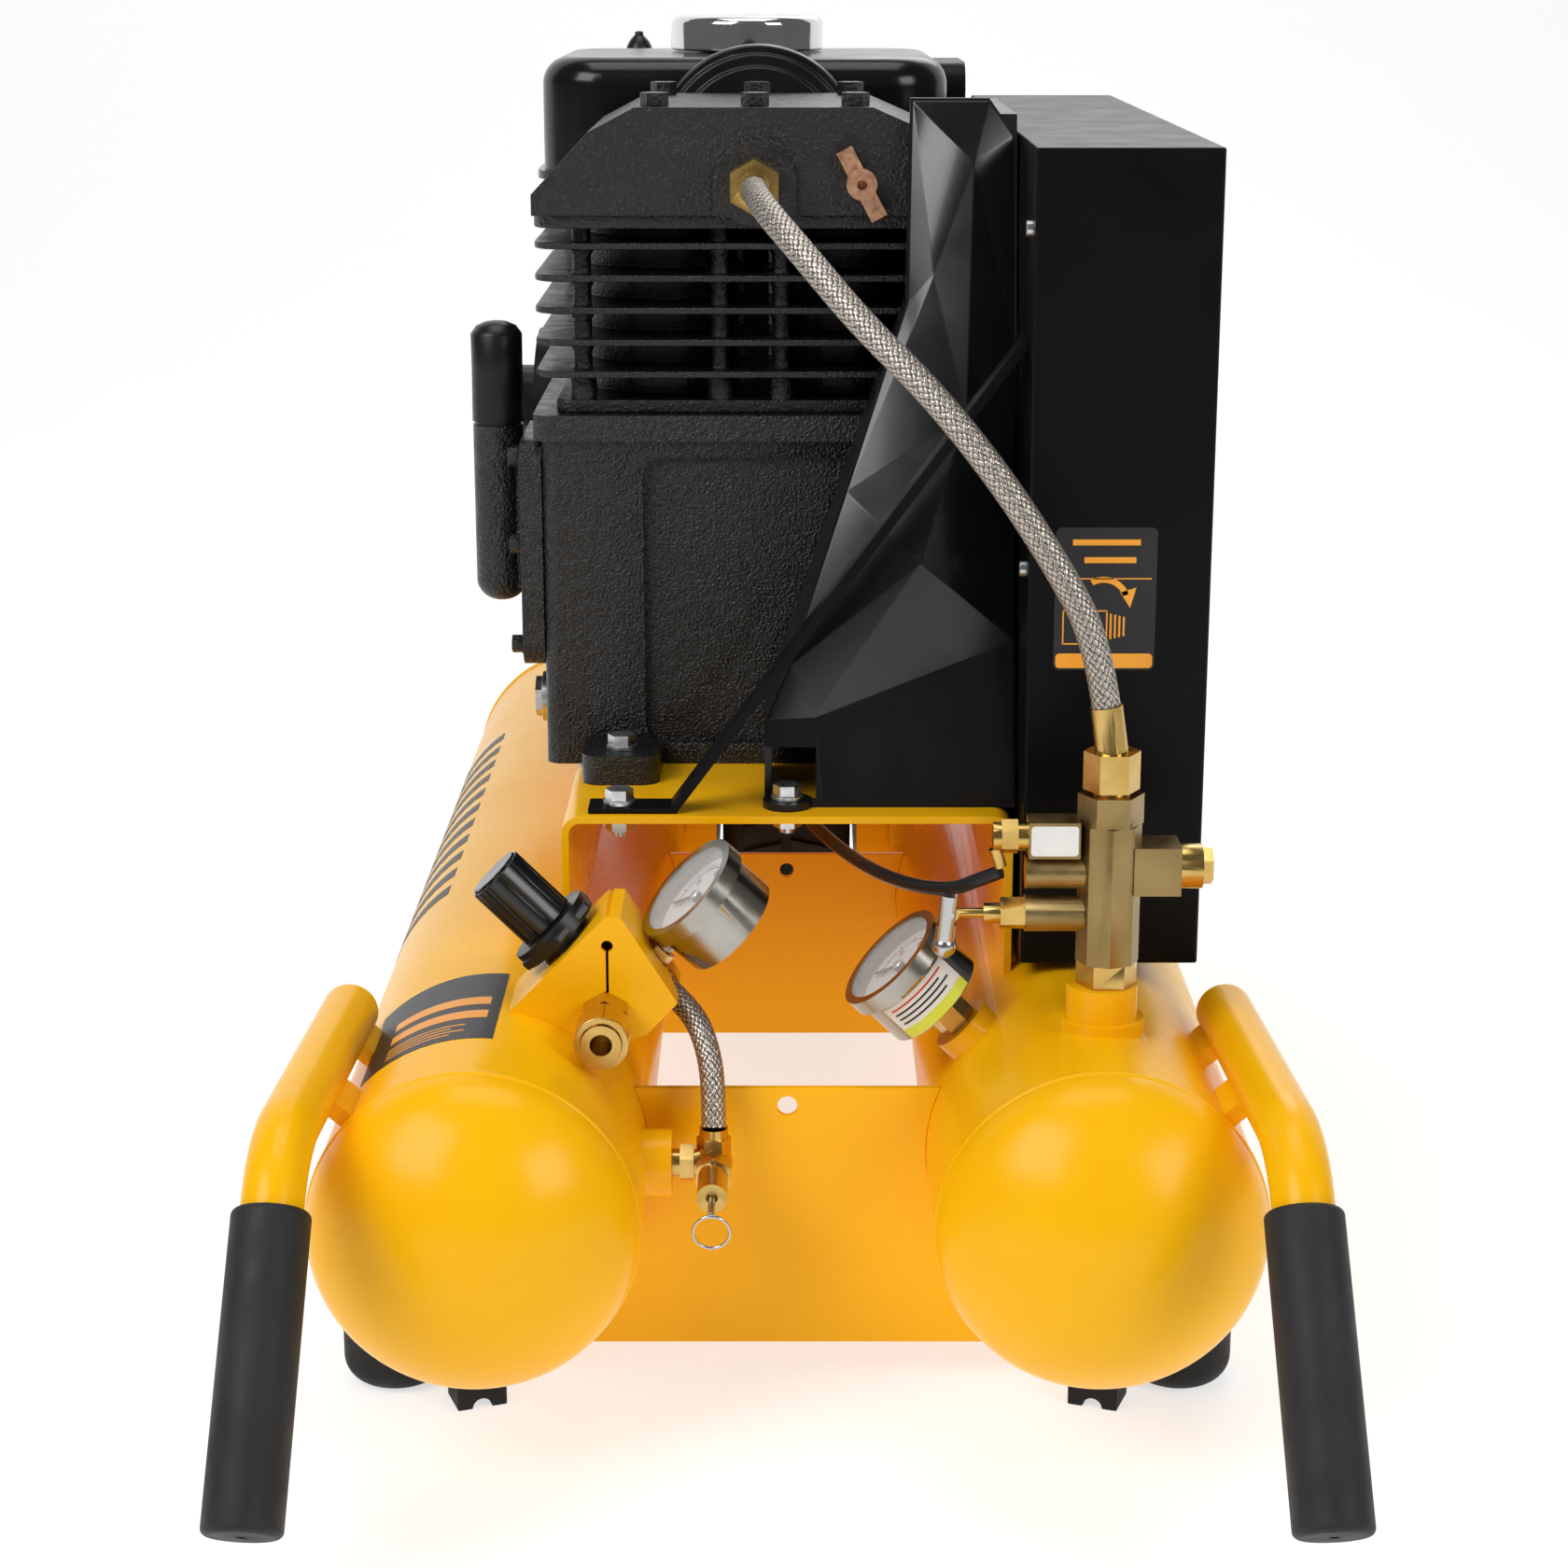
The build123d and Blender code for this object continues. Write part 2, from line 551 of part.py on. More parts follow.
def air_cleaner_knob():
    knob = rod((-100, 389, 650.3), (-100, 389, 656), 9) + rod((-100, 389, 655), (-100, 389, 669), 4)
    return knob + block((-111, -89), (387, 391), (655, 664))


def muffler():
    body = block((20, 119), (335, 440), (555, 650), round_x=18) - block((26, 113), (341, 434), (561, 644))
    return body + rod((70, 438, 600), (70, 456, 600), 11, 9)


def carburettor():
    bowl = rod((-92.5, 371, 480), (-92.5, 371, 501), 15)
    return block((-112, -75.3), (352, 390), (500, 546.8), round_y=4) + bowl


def throttle_lever():
    lever = rod((-115, 334, 508.3), (-115, 334, 514), 7)
    lever = lever + block((-119, -111), (334, 384), (508.3, 511)) + rod((-115, 384, 508.3), (-115, 384, 517), 6)
    return lever.rotate(Axis((-115, 334, 508), (0, 0, 1)), 28)


# Air fittings ---------------------------------------------------------------------------------

def unloader_valve():
    """Stacked brass check and unloader valve on the right tank's top port."""
    x, y = VALVE

    def up(z0, z1):
        return (x, y, z0), (x, y, z1)

    body = hexagon(*up(231.1, 243), 26) + hexagon(*up(313, 328), 28) + rod(*up(327, 331), 9)
    body = body + facing(*up(243, 313)) * extrude(RegularPolygon(15.5, 8), 70) + hexagon(*up(330, 349), 24)
    body = body + rod((x, y, 347), DISCHARGE_ROUTE[-1], 8)
    body = body + block((168, 191), (y - 12, y + 12), (279, 303)) + rod((190, y, 291), (202, y, 291), 11)
    body = body + hexagon((201, y, 291), (207, y, 291), 16)
    body = body + block((117, 142), (y - 9, y + 9), (297, 315)) + rod((116, y, 288), (145, y, 288), 8.25)
    body = body + rod((116, y, 267), (145, y, 267), 9) + hexagon((104, y, 267), (116, y, 267), 14)
    body = body + rod((96, y, 267), (104, y, 267), 5) + rod((80, y, 267), (97, y, 267), 2.5)
    body = body + rod((80, y - 2.9, 267), (80, y + 2.9, 267), 4)
    elbow = rod((100, y, 306), (118, y, 306), 7) + hexagon((104, y, 306), (112, y, 306), 15)
    barb = rod((101, y, 300), (104, y, 290.5), 3.2)
    return body + elbow + barb - rod((80, y - 4, 267), (80, y + 4, 267), 1.5 + RUN)


def unloader_lever():
    """Forked toggle with a ball end, pinned through the valve stem."""
    y = VALVE[1]
    stick = rod((77, y, 252), (79.5, y, 276), 5) + Pos(77, y, 250) * Sphere(6)
    pin = rod((80, y - 5, 267), (80, y + 5, 267), 1.5)
    stick = stick - block((70, 92), (y - 3.2, y + 3.2), (261, 280))
    return stick + pin


def regulator_bracket():
    """Folded sheet with a front face and two slopes, welded to the left tank."""
    front = plate([(-139, 205), (-139, 209), (-91, 258), (-83, 258), (-55, 213), (-71, 196), (-104, 188)],
                  -301, -298)
    slope_left = plate([(-139, 209), (-91, 258), (-88.5, 255), (-136.5, 206.5)], -301, -252)
    slope_right = plate([(-89, 258), (-83, 258), (-55, 213), (-58, 211), (-85.5, 254.8), (-89, 255)], -301, -252)
    x, z = COUPLER
    folded = front + slope_left + slope_right - tank_space()
    folded = folded - rod((x, -310, z), (x, -290, z), 9) - rod((-90, -310, 243), (-90, -290, 243), 3)
    folded = folded - rod((-100, -271, 224), (-125, -271, 249), 15.3)
    folded = folded - rod((-80, -271, 216), (-60, -271, 236), 8.8) - rod((-75, -265, 221), (-46, -284.3, 201.7), 8.8)
    folded = folded - block((-90.7, -89.3), (-303, -296), (215, 243))
    return folded


def regulator_body():
    """Regulator under the bracket, with the ring nut that clamps it."""
    body = rod((-84, -271, 208), (-106, -271, 230), 18) + rod((-100, -271, 224), (-116.5, -271, 240.5), 15)
    ring = rod((-115.2, -271, 239.2), (-121.6, -271, 245.6), 23, 12)
    body = body + ring
    x, z = COUPLER
    body = body + rod((x, -297.8, z), (x, -270, z), 12)
    return body - rod((-96, -271, 220), (-125, -271, 249), 9)


def regulator_knob():
    start, end = (-121.9, -271, 245.9), (-148.8, -271, 272.8)
    knob = rod(start, end, 15.5)
    knob = fillet(knob.edges(), 1.5)
    return knob + rod((-104, -271, 228), (-123, -271, 247), 8.7)


def coupler_sleeve():
    x, z = COUPLER
    return rod((x, -344, z), (x, -322, z), 13.5, 10 + RUN)


def safety_ring():
    """Pull ring and stem of the safety valve."""
    ring = Pos(-37, -374, 121) * Rot(100, 0, 0) * Torus(9, 0.8)
    return ring + rod((-37, -362, 133), (-37, -375, 130), 1.8)


def drain(side):
    return rod((side * TANK_X, -40, 41.8), (side * TANK_X, -40, 30), 7)


def brass_fittings():
    """Coupler body, hose ends, tee with safety valve, gauge nuts and drain bodies."""
    x, z = COUPLER
    coupler = rod((x, -346, z), (x, -301.2, z), 10) + hexagon((x, -316, z), (x, -301.2, z), 22)
    coupler = coupler - rod((x, -347, z), (x, -308, z), 5.5)
    ox, oz = OUTLET
    outlet = hexagon((ox, -150, oz), (ox, -122.1, oz), 25) + rod((ox, -163, oz), (ox, -149, oz), 8)
    tee = rod((-57.9, -314, 133), (-37, -314, 133), 7) + hexagon((-54, -314, 133), (-47, -314, 133), 17)
    tee = tee + Pos(-37, -314, 133) * Sphere(9.5) + hexagon((-37, -314, 138), (-37, -314, 147), 15)
    tee = tee + rod((-37, -314, 146), (-37, -314, 152), 7.2)
    tee = tee + hexagon((-37, -320, 133), (-37, -334, 133), 17) + rod((-37, -333, 133), (-37, -361, 133), 7.5)
    tee = tee - rod((-37, -355, 133.5), (-37, -362, 133.5), 3)
    inlet = rod((-72, -267, 219), REGULATOR_ROUTE[0], 7.2)
    inlet = inlet - rod((-84, -271, 208), (-106, -271, 230), 18.1) - rod((x, -310, z), (x, -270, z), 12.1)
    gauge_nut = hexagon((-73, -271, 223), (-63, -271, 233), 14)
    axis_point = (TANK_X, -271, TANK_Z)
    flank_nut = hexagon(moved(axis_point, SLANT, 89.1), moved(axis_point, SLANT, 102), 18)
    flank_nut = flank_nut + rod(moved(axis_point, SLANT, 101), moved(axis_point, SLANT, 112), 5)
    flank_nut = flank_nut - gauge_plane(TANK_GAUGE) * stack(-GAUGES[1][1] - 0.05, 0, GAUGE_R)
    return group(coupler, outlet, tee, inlet, gauge_nut, flank_nut, drain(-1), drain(1))


def drain_key(side):
    stem = rod((side * TANK_X, -40, 29.7), (side * TANK_X, -40, 22), 4)
    wing = block((-9, 9), (-1.5, 1.5), (16, 26), round_y=3)
    return stem + Pos(side * TANK_X, -40, 0) * wing


def gauge_plane(gauge):
    """Plane on a gauge's face, its Y axis towards the top of the dial."""
    centre, normal = gauge
    normal = Vector(*normal).normalized()
    top = Vector(0.707, 0, 0.707)
    right = top.cross(normal)
    return Plane(origin=centre, x_dir=right, z_dir=normal)


GAUGES = [(OUTLET_GAUGE, 32.0), (TANK_GAUGE, 33.0)]


def stack(low, high, radius):
    """Disc between two heights of a gauge's own frame."""
    return Pos(0, 0, low) * extrude(Circle(radius), high - low)


def gauge_cases():
    cases = []
    for gauge, depth in GAUGES:
        case = stack(-depth, -2, GAUGE_R) + stack(-9, 0, BEZEL_R) - stack(-10, 1, DIAL_R)
        cases.append(gauge_plane(gauge) * case)
    place = gauge_plane(OUTLET_GAUGE)
    stem = rod((-62.9, -271, 233.1), moved(OUTLET_GAUGE[0], -place.z_dir, 15), 5)
    return group(cases[0] + (stem - place * stack(-25, 0, GAUGE_R - 0.5)), cases[1])


def gauge_dials():
    return group(*[gauge_plane(gauge) * stack(-9.95, -9, DIAL_R - RUN) for gauge, _ in GAUGES])


def gauge_lenses():
    return group(*[gauge_plane(gauge) * stack(-3.5, -1, DIAL_R - RUN) for gauge, _ in GAUGES])


def needle(gauge):
    """Pointer resting at the zero mark, lower left of the dial."""
    pointer = Rot(0, 0, 135) * (Pos(0, 8, -7) * Box(1.6, 24, 0.8))
    return gauge_plane(gauge) * (stack(-8.6, -6, 3) + pointer)


# Fasteners ------------------------------------------------------------------------------------

def deck_bolt(x, y, top):
    """Hex bolt with its washer, down through the deck to a nut."""
    bolt = hexagon((x, y, top + 2.2), (x, y, top + 8), 13) + rod((x, y, top + 0.2), (x, y, top + 2.3), 8.5)
    bolt = bolt + rod((x, y, 273), (x, y, top + 3), 4)
    return bolt + hexagon((x, y, 276), (x, y, DECK_TOP - DECK_T - 0.2), 13)


def bolts():
    """Deck bolts, head bolts, axle nuts, foot screws and guard screws."""
    pieces = [deck_bolt(*place) for place in DECK_BOLTS]
    for x in (-70, -17, 36):
        for y in (PUMP_Y - 66, PUMP_Y + 66):
            pieces.append(hexagon((x, y, HEAD_TOP + 0.1), (x, y, HEAD_TOP + 7), 13))
    for x in (-1, 1):
        pieces.append(hexagon((x * 53.2, WHEEL_Y, WHEEL_R), (x * 62, WHEEL_Y, WHEEL_R), 24, AXLE_R + RUN))
        pieces.append(hexagon((x * 215, -280, 48.1), (x * 215, -280, 54), 13))
    for y, z in ((-228, 420), (-228, 590)):
        pieces.append(rod((117.5, y, z), (120.9, y, z), 4))
    return group(*pieces)


# Hoses ----------------------------------------------------------------------------------------

def hose(name, route, radius):
    """Tube of straight runs and tangent arcs, each arc as large as its two runs allow."""
    points = [Vector(*point) for point in route]
    radii = []
    for before, here, after in zip(points, points[1:], points[2:]):
        turn = (here - before).get_angle(after - here)
        run = min((here - before).length, (after - here).length)
        radii.append(0.45 * run / tan(radians(turn) / 2))
    path = FilletPolyline(*points, radius=radii)
    tube = sweep(facing(route[0], route[1]) * Circle(radius), path=path)
    expected = pi * radius ** 2 * path.length
    print(name, "length", round(path.length, 1), "radii", [round(r) for r in radii],
          "volume ratio", round(tube.volume / expected, 4))
    return tube


NODES = {
    "tank_left": tank_left, "tank_right": tank_right, "deck": deck, "cross_plates": cross_plates,
    "wheel_brackets": wheel_brackets, "handle_tubes": handle_tubes, "handle_grips": handle_grips,
    "rubber_feet": rubber_feet, "axle": axle, "bolts": bolts, "crossover_pipe": crossover_pipe,
    "pump_crankcase": pump_crankcase, "pump_end_cover": pump_end_cover,
    "oil_breather_cap": oil_breather_cap, "oil_sight_glass": oil_sight_glass,
    "pump_cylinders": pump_cylinders, "pump_head": pump_head, "pistons_and_rods": pistons_and_rods,
    "pump_crankshaft": pump_crankshaft, "pump_flywheel": pump_flywheel, "pump_bearings": pump_bearings,
    "intake_filter": intake_filter, "head_wing_valve": head_wing_valve, "drive_belt": drive_belt,
    "engine_pulley": engine_pulley, "belt_guard": belt_guard, "air_shroud": air_shroud,
    "guard_strut": guard_strut, "engine_block": engine_block, "engine_crankshaft": engine_crankshaft,
    "recoil_housing": recoil_housing, "recoil_handle": recoil_handle, "fuel_tank": fuel_tank,
    "fuel_cap": fuel_cap, "air_cleaner": air_cleaner, "air_cleaner_knob": air_cleaner_knob,
    "muffler": muffler, "carburettor": carburettor, "throttle_lever": throttle_lever,
    "unloader_valve": unloader_valve, "unloader_lever": unloader_lever,
    "regulator_bracket": regulator_bracket, "regulator_body": regulator_body,
    "regulator_knob": regulator_knob, "coupler_sleeve": coupler_sleeve,
    "brass_fittings": brass_fittings, "gauge_cases": gauge_cases, "gauge_dials": gauge_dials,
    "gauge_lenses": gauge_lenses, "needle_outlet": lambda: needle(OUTLET_GAUGE),
    "needle_tank": lambda: needle(TANK_GAUGE), "safety_ring": safety_ring,
    "wheel_rim": wheel_rim, "wheel_tyre": wheel_tyre, "wheel_bearings": wheel_bearings,
    "drain_key_left": lambda: drain_key(-1), "drain_key_right": lambda: drain_key(1),
    "discharge_hose": lambda: hose("discharge", DISCHARGE_ROUTE, DISCHARGE_R),
    "regulator_hose": lambda: hose("regulator", REGULATOR_ROUTE, REGULATOR_R),
    "pilot_tube": lambda: hose("pilot", PILOT_ROUTE, PILOT_R),
}

os.makedirs("parts", exist_ok=True)
for node, make in NODES.items():
    export_step(make(), f"parts/{node}.step")
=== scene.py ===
import bmesh
import bpy
import json
import math
from mathutils import Matrix, Vector


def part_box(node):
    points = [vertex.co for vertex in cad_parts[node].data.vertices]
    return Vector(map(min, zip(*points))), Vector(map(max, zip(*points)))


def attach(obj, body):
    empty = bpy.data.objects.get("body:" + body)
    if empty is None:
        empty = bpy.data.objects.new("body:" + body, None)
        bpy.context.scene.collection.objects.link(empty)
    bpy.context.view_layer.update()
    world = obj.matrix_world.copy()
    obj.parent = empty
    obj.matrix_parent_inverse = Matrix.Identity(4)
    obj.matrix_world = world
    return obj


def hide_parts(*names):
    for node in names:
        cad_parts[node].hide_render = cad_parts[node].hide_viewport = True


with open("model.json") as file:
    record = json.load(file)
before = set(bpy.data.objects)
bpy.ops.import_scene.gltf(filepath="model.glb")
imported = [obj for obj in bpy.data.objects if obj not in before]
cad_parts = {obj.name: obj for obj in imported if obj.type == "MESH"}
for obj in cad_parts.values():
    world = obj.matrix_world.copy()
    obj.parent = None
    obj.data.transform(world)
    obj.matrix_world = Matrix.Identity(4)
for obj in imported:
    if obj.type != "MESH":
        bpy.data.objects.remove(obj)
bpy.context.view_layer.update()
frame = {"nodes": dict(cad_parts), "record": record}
MM = 0.001


# Camera, light and floor ----------------------------------------------------------------------

CAMERA_X, CAMERA_Y, CAMERA_Z = -0.0017, -1.761, 0.7236
CAMERA_PITCH, CAMERA_LENS = 15.2, 70.71


def make_camera():
    data = bpy.data.cameras.new("camera")
    data.lens, data.sensor_width = CAMERA_LENS, 36.0
    data.clip_start, data.clip_end = 0.05, 50
    camera = bpy.data.objects.new("camera", data)
    camera.location = (CAMERA_X, CAMERA_Y, CAMERA_Z)
    camera.rotation_euler = (math.radians(90 - CAMERA_PITCH), 0, 0)
    bpy.context.collection.objects.link(camera)
    bpy.context.scene.camera = camera


def area_light(name, place, target, size, power):
    data = bpy.data.lights.new(name, "AREA")
    data.shape, data.size, data.energy = "SQUARE", size, power
    light = bpy.data.objects.new(name, data)
    light.location = place
    light.rotation_euler = (Vector(target) - Vector(place)).to_track_quat("-Z", "Y").to_euler()
    bpy.context.collection.objects.link(light)


def plain_material(name, color, rough, glow=0.0):
    material = bpy.data.materials.new(name)
    material.use_nodes = True
    shader = material.node_tree.nodes["Principled BSDF"]
    shader.inputs["Base Color"].default_value = (*color, 1)
    shader.inputs["Roughness"].default_value = rough
    shader.inputs["Emission Color"].default_value = (1, 1, 1, 1)
    shader.inputs["Emission Strength"].default_value = glow
    return material


def make_sweep():
    """White paper sweep: a floor that curves up into a wall behind the object."""
    wall, rise, half = 3.2, 1.2, 7.0
    profile = [(-4.0, 0.0), (wall - rise, 0.0)]
    for step in range(1, 13):
        angle = math.radians(90 * step / 12)
        profile.append((wall - rise + rise * math.sin(angle), rise - rise * math.cos(angle)))
    profile.append((wall, 5.0))
    bm = bmesh.new()
    rows = [[bm.verts.new((x, y, z)) for x in (-half, half)] for y, z in profile]
    for near, far in zip(rows, rows[1:]):
        bm.faces.new((near[0], near[1], far[1], far[0]))
    mesh = bpy.data.meshes.new("sweep")
    bm.to_mesh(mesh)
    bm.free()
    mesh.shade_smooth()
    mesh.materials.append(plain_material("sweep_white", (0.5, 0.5, 0.5), 0.95, 0.65))
    sweep = bpy.data.objects.new("sweep", mesh)
    bpy.context.collection.objects.link(sweep)


def make_stage():
    make_sweep()
    world = bpy.data.worlds.new("studio")
    world.use_nodes = True
    world.node_tree.nodes["Background"].inputs[0].default_value = (1, 1, 1, 1)
    world.node_tree.nodes["Background"].inputs[1].default_value = 0.12
    bpy.context.scene.world = world
    middle = (0, 0, 0.35)
    area_light("key", (-1.5, -1.7, 2.1), middle, 1.5, 44)
    area_light("fill", (1.9, -1.9, 1.6), middle, 1.2, 24)
    area_light("top", (0.0, 0.1, 2.8), middle, 1.6, 20)
    area_light("back", (0.6, 2.2, 2.0), middle, 1.2, 10)
    bpy.context.scene.view_settings.view_transform = "Standard"


# Materials ------------------------------------------------------------------------------------

class Paint:
    """Builds one procedural material: colour variation, roughness variation and bump."""

    def __init__(self, name, color, rough, metal=0.0, coat=0.0, gloss=0.5):
        self.material = bpy.data.materials.new(name)
        self.material.use_nodes = True
        self.nodes = self.material.node_tree.nodes
        self.links = self.material.node_tree.links
        self.shader = self.nodes["Principled BSDF"]
        self.shader.inputs["Base Color"].default_value = (*color, 1)
        self.shader.inputs["Roughness"].default_value = rough
        self.shader.inputs["Metallic"].default_value = metal
        self.shader.inputs["Coat Weight"].default_value = coat
        self.shader.inputs["Specular IOR Level"].default_value = gloss
        self.shader.inputs["Coat Roughness"].default_value = 0.12
        self.place = self.nodes.new("ShaderNodeTexCoord").outputs["Object"]

    def noise(self, scale, detail=4.0, stretch=None):
        place = self.place
        if stretch:
            mapping = self.nodes.new("ShaderNodeMapping")
            mapping.inputs["Scale"].default_value = stretch
            self.links.new(place, mapping.inputs["Vector"])
            place = mapping.outputs["Vector"]
        texture = self.nodes.new("ShaderNodeTexNoise")
        texture.inputs["Scale"].default_value = scale
        texture.inputs["Detail"].default_value = detail
        self.links.new(place, texture.inputs["Vector"])
        return texture.outputs["Fac"]

    def ramp(self, source, low, high, start=0.3, stop=0.7):
        ramp = self.nodes.new("ShaderNodeValToRGB")
        ramp.color_ramp.elements[0].position, ramp.color_ramp.elements[1].position = start, stop
        ramp.color_ramp.elements[0].color, ramp.color_ramp.elements[1].color = (*low, 1), (*high, 1)
        self.links.new(source, ramp.inputs["Fac"])
        return ramp.outputs["Color"]

    def tint(self, scale, low, high, stretch=None, start=0.3, stop=0.7):
        self.links.new(self.ramp(self.noise(scale, 5, stretch), low, high, start, stop),
                       self.shader.inputs["Base Color"])
        return self

    def roughen(self, scale, low, high, stretch=None):
        spread = self.nodes.new("ShaderNodeMapRange")
        spread.inputs["To Min"].default_value, spread.inputs["To Max"].default_value = low, high
        spread.inputs["From Min"].default_value, spread.inputs["From Max"].default_value = 0.3, 0.7
        self.links.new(self.noise(scale, 5, stretch), spread.inputs["Value"])
        self.links.new(spread.outputs["Result"], self.shader.inputs["Roughness"])
        return self

    def bump(self, scale, strength, distance, detail=4.0, stretch=None):
        bump = self.nodes.new("ShaderNodeBump")
        bump.inputs["Strength"].default_value = strength
        bump.inputs["Distance"].default_value = distance
        self.links.new(self.noise(scale, detail, stretch), bump.inputs["Height"])
        previous = self.shader.inputs["Normal"].links
        if previous:
            self.links.new(previous[0].from_socket, bump.inputs["Normal"])
        self.links.new(bump.outputs["Normal"], self.shader.inputs["Normal"])
        return self

    def attribute_color(self, name):
        node = self.nodes.new("ShaderNodeVertexColor")
        node.layer_name = name
        self.links.new(node.outputs["Color"], self.shader.inputs["Base Color"])
        return self


YELLOW, YELLOW_DEEP = (1.0, 0.52, 0.003), (0.97, 0.48, 0.002)


def make_materials():
    paints = {
        "yellow": Paint("yellow_enamel", YELLOW, 0.26, gloss=0.2).tint(9, YELLOW_DEEP, YELLOW)
        .roughen(14, 0.22, 0.3).bump(420, 0.06, 0.0006),
        "casting": Paint("black_casting", (0.004, 0.004, 0.0045), 0.36, coat=0.1, gloss=0.5)
        .tint(60, (0.002, 0.002, 0.0025), (0.006, 0.006, 0.0065)).roughen(90, 0.24, 0.42)
        .bump(520, 0.7, 0.0016, 4),
        "rough": Paint("sand_cast_black", (0.004, 0.004, 0.0045), 0.36, coat=0.1, gloss=0.5)
        .tint(60, (0.002, 0.002, 0.0025), (0.006, 0.006, 0.0065)).roughen(90, 0.18, 0.4)
        .bump(650, 1.0, 0.0016, 2).bump(170, 0.5, 0.002, 2),
        "sheet": Paint("black_sheet", (0.0025, 0.0025, 0.003), 0.36, gloss=0.12)
        .tint(6, (0.0015, 0.0015, 0.002), (0.004, 0.004, 0.0045)).roughen(30, 0.3, 0.42)
        .bump(1500, 0.12, 0.0004),
        "plastic": Paint("black_plastic", (0.006, 0.006, 0.0065), 0.33, gloss=0.4)
        .tint(10, (0.004, 0.004, 0.0045), (0.008, 0.008, 0.0085)).roughen(40, 0.27, 0.4)
        .bump(1800, 0.15, 0.0003),
        "gloss": Paint("gloss_black_plastic", (0.005, 0.005, 0.0055), 0.24, coat=0.2)
        .tint(10, (0.003, 0.003, 0.0035), (0.007, 0.007, 0.0075)).roughen(30, 0.2, 0.3)
        .bump(1600, 0.06, 0.0002),
        "tank": Paint("fuel_tank_black", (0.003, 0.003, 0.0035), 0.24, coat=0.05, gloss=0.35)
        .tint(8, (0.002, 0.002, 0.0025), (0.005, 0.005, 0.0055)).roughen(20, 0.16, 0.26)
        .bump(260, 0.05, 0.0006),
        "grip": Paint("grip_rubber", (0.017, 0.0175, 0.019), 0.6, gloss=0.35)
        .tint(30, (0.013, 0.0135, 0.015), (0.022, 0.0225, 0.024)).roughen(60, 0.5, 0.7).bump(1400, 0.3, 0.0005),
        "rubber": Paint("black_rubber", (0.009, 0.009, 0.009), 0.7, gloss=0.35)
        .tint(30, (0.006, 0.006, 0.006), (0.013, 0.013, 0.013)).roughen(60, 0.6, 0.8).bump(900, 0.35, 0.0006),
        "zinc": Paint("zinc_plate", (0.66, 0.67, 0.68), 0.3, metal=1.0)
        .tint(80, (0.60, 0.61, 0.62), (0.72, 0.73, 0.74)).roughen(200, 0.22, 0.4).bump(900, 0.1, 0.0003),
        "steel": Paint("machined_steel", (0.5, 0.51, 0.52), 0.34, metal=1.0)
        .tint(80, (0.42, 0.43, 0.44), (0.58, 0.59, 0.6)).roughen(160, 0.25, 0.45).bump(1200, 0.1, 0.0003),
        "chrome": Paint("chrome_plate", (0.82, 0.81, 0.79), 0.07, metal=1.0)
        .tint(30, (0.76, 0.75, 0.73), (0.86, 0.85, 0.83)).roughen(50, 0.05, 0.12),
        "bright": Paint("bright_steel", (0.5, 0.5, 0.5), 0.2, metal=1.0)
        .tint(40, (0.45, 0.45, 0.45), (0.55, 0.55, 0.55)).roughen(80, 0.16, 0.26),
        "brass": Paint("turned_brass", (0.62, 0.42, 0.13), 0.24, metal=1.0)
        .tint(70, (0.56, 0.36, 0.10), (0.68, 0.47, 0.16)).roughen(120, 0.2, 0.3).bump(1500, 0.08, 0.0002),
        "cast_brass": Paint("forged_brass", (0.34, 0.245, 0.10), 0.4, metal=1.0)
        .tint(50, (0.29, 0.205, 0.08), (0.39, 0.285, 0.125)).roughen(100, 0.34, 0.46).bump(900, 0.2, 0.0004),
        "copper": Paint("sintered_copper", (0.62, 0.33, 0.2), 0.45, metal=1.0)
        .tint(300, (0.5, 0.25, 0.14), (0.72, 0.42, 0.27)).roughen(300, 0.35, 0.55).bump(2000, 0.3, 0.0003),
        "stainless": Paint("polished_stainless", (0.42, 0.40, 0.36), 0.2, metal=1.0)
        .tint(40, (0.37, 0.35, 0.31), (0.46, 0.44, 0.40)).roughen(90, 0.18, 0.26).bump(1600, 0.06, 0.0002),
        "aluminium": Paint("cast_aluminium", (0.6, 0.6, 0.61), 0.42, metal=1.0)
        .tint(100, (0.5, 0.5, 0.51), (0.68, 0.68, 0.69)).roughen(200, 0.35, 0.55).bump(1100, 0.3, 0.0005),
        "dial": Paint("dial_card", (0.86, 0.86, 0.83), 0.5).tint(20, (0.83, 0.83, 0.8), (0.88, 0.88, 0.86))
        .roughen(60, 0.4, 0.55),
        "ink": Paint("dial_ink", (0.012, 0.012, 0.014), 0.5).tint(90, (0.01, 0.01, 0.012), (0.02, 0.02, 0.022)),
        "red": Paint("red_seal", (0.62, 0.05, 0.02), 0.45).tint(90, (0.5, 0.035, 0.015), (0.7, 0.07, 0.03)),
        "label": Paint("label_black", (0.012, 0.012, 0.013), 0.4)
        .tint(20, (0.008, 0.008, 0.009), (0.014, 0.014, 0.015)),
        "orange": Paint("label_orange", (0.93, 0.36, 0.02), 0.4)
        .tint(40, (0.88, 0.33, 0.015), (0.95, 0.4, 0.03)),
        "paper": Paint("label_white", (0.8, 0.8, 0.78), 0.5).tint(60, (0.76, 0.76, 0.74), (0.84, 0.84, 0.82)),
        "lime": Paint("label_lime", (0.72, 0.8, 0.06), 0.5).tint(60, (0.66, 0.74, 0.05), (0.76, 0.84, 0.08)),
        "rim": Paint("rim_silver", (0.62, 0.62, 0.6), 0.35, metal=0.6, coat=0.3)
        .tint(40, (0.56, 0.56, 0.54), (0.68, 0.68, 0.66)).bump(700, 0.12, 0.0004),
        # Braid base colour comes from a vertex colour of painted light: painted shade in the gaps between bands
        # and painted highlights along single wires.
        "braid": Paint("steel_braid", (0.8, 0.77, 0.72), 0.28, metal=0.8).attribute_color("braid_light_paint")
        .roughen(500, 0.24, 0.42),
    }
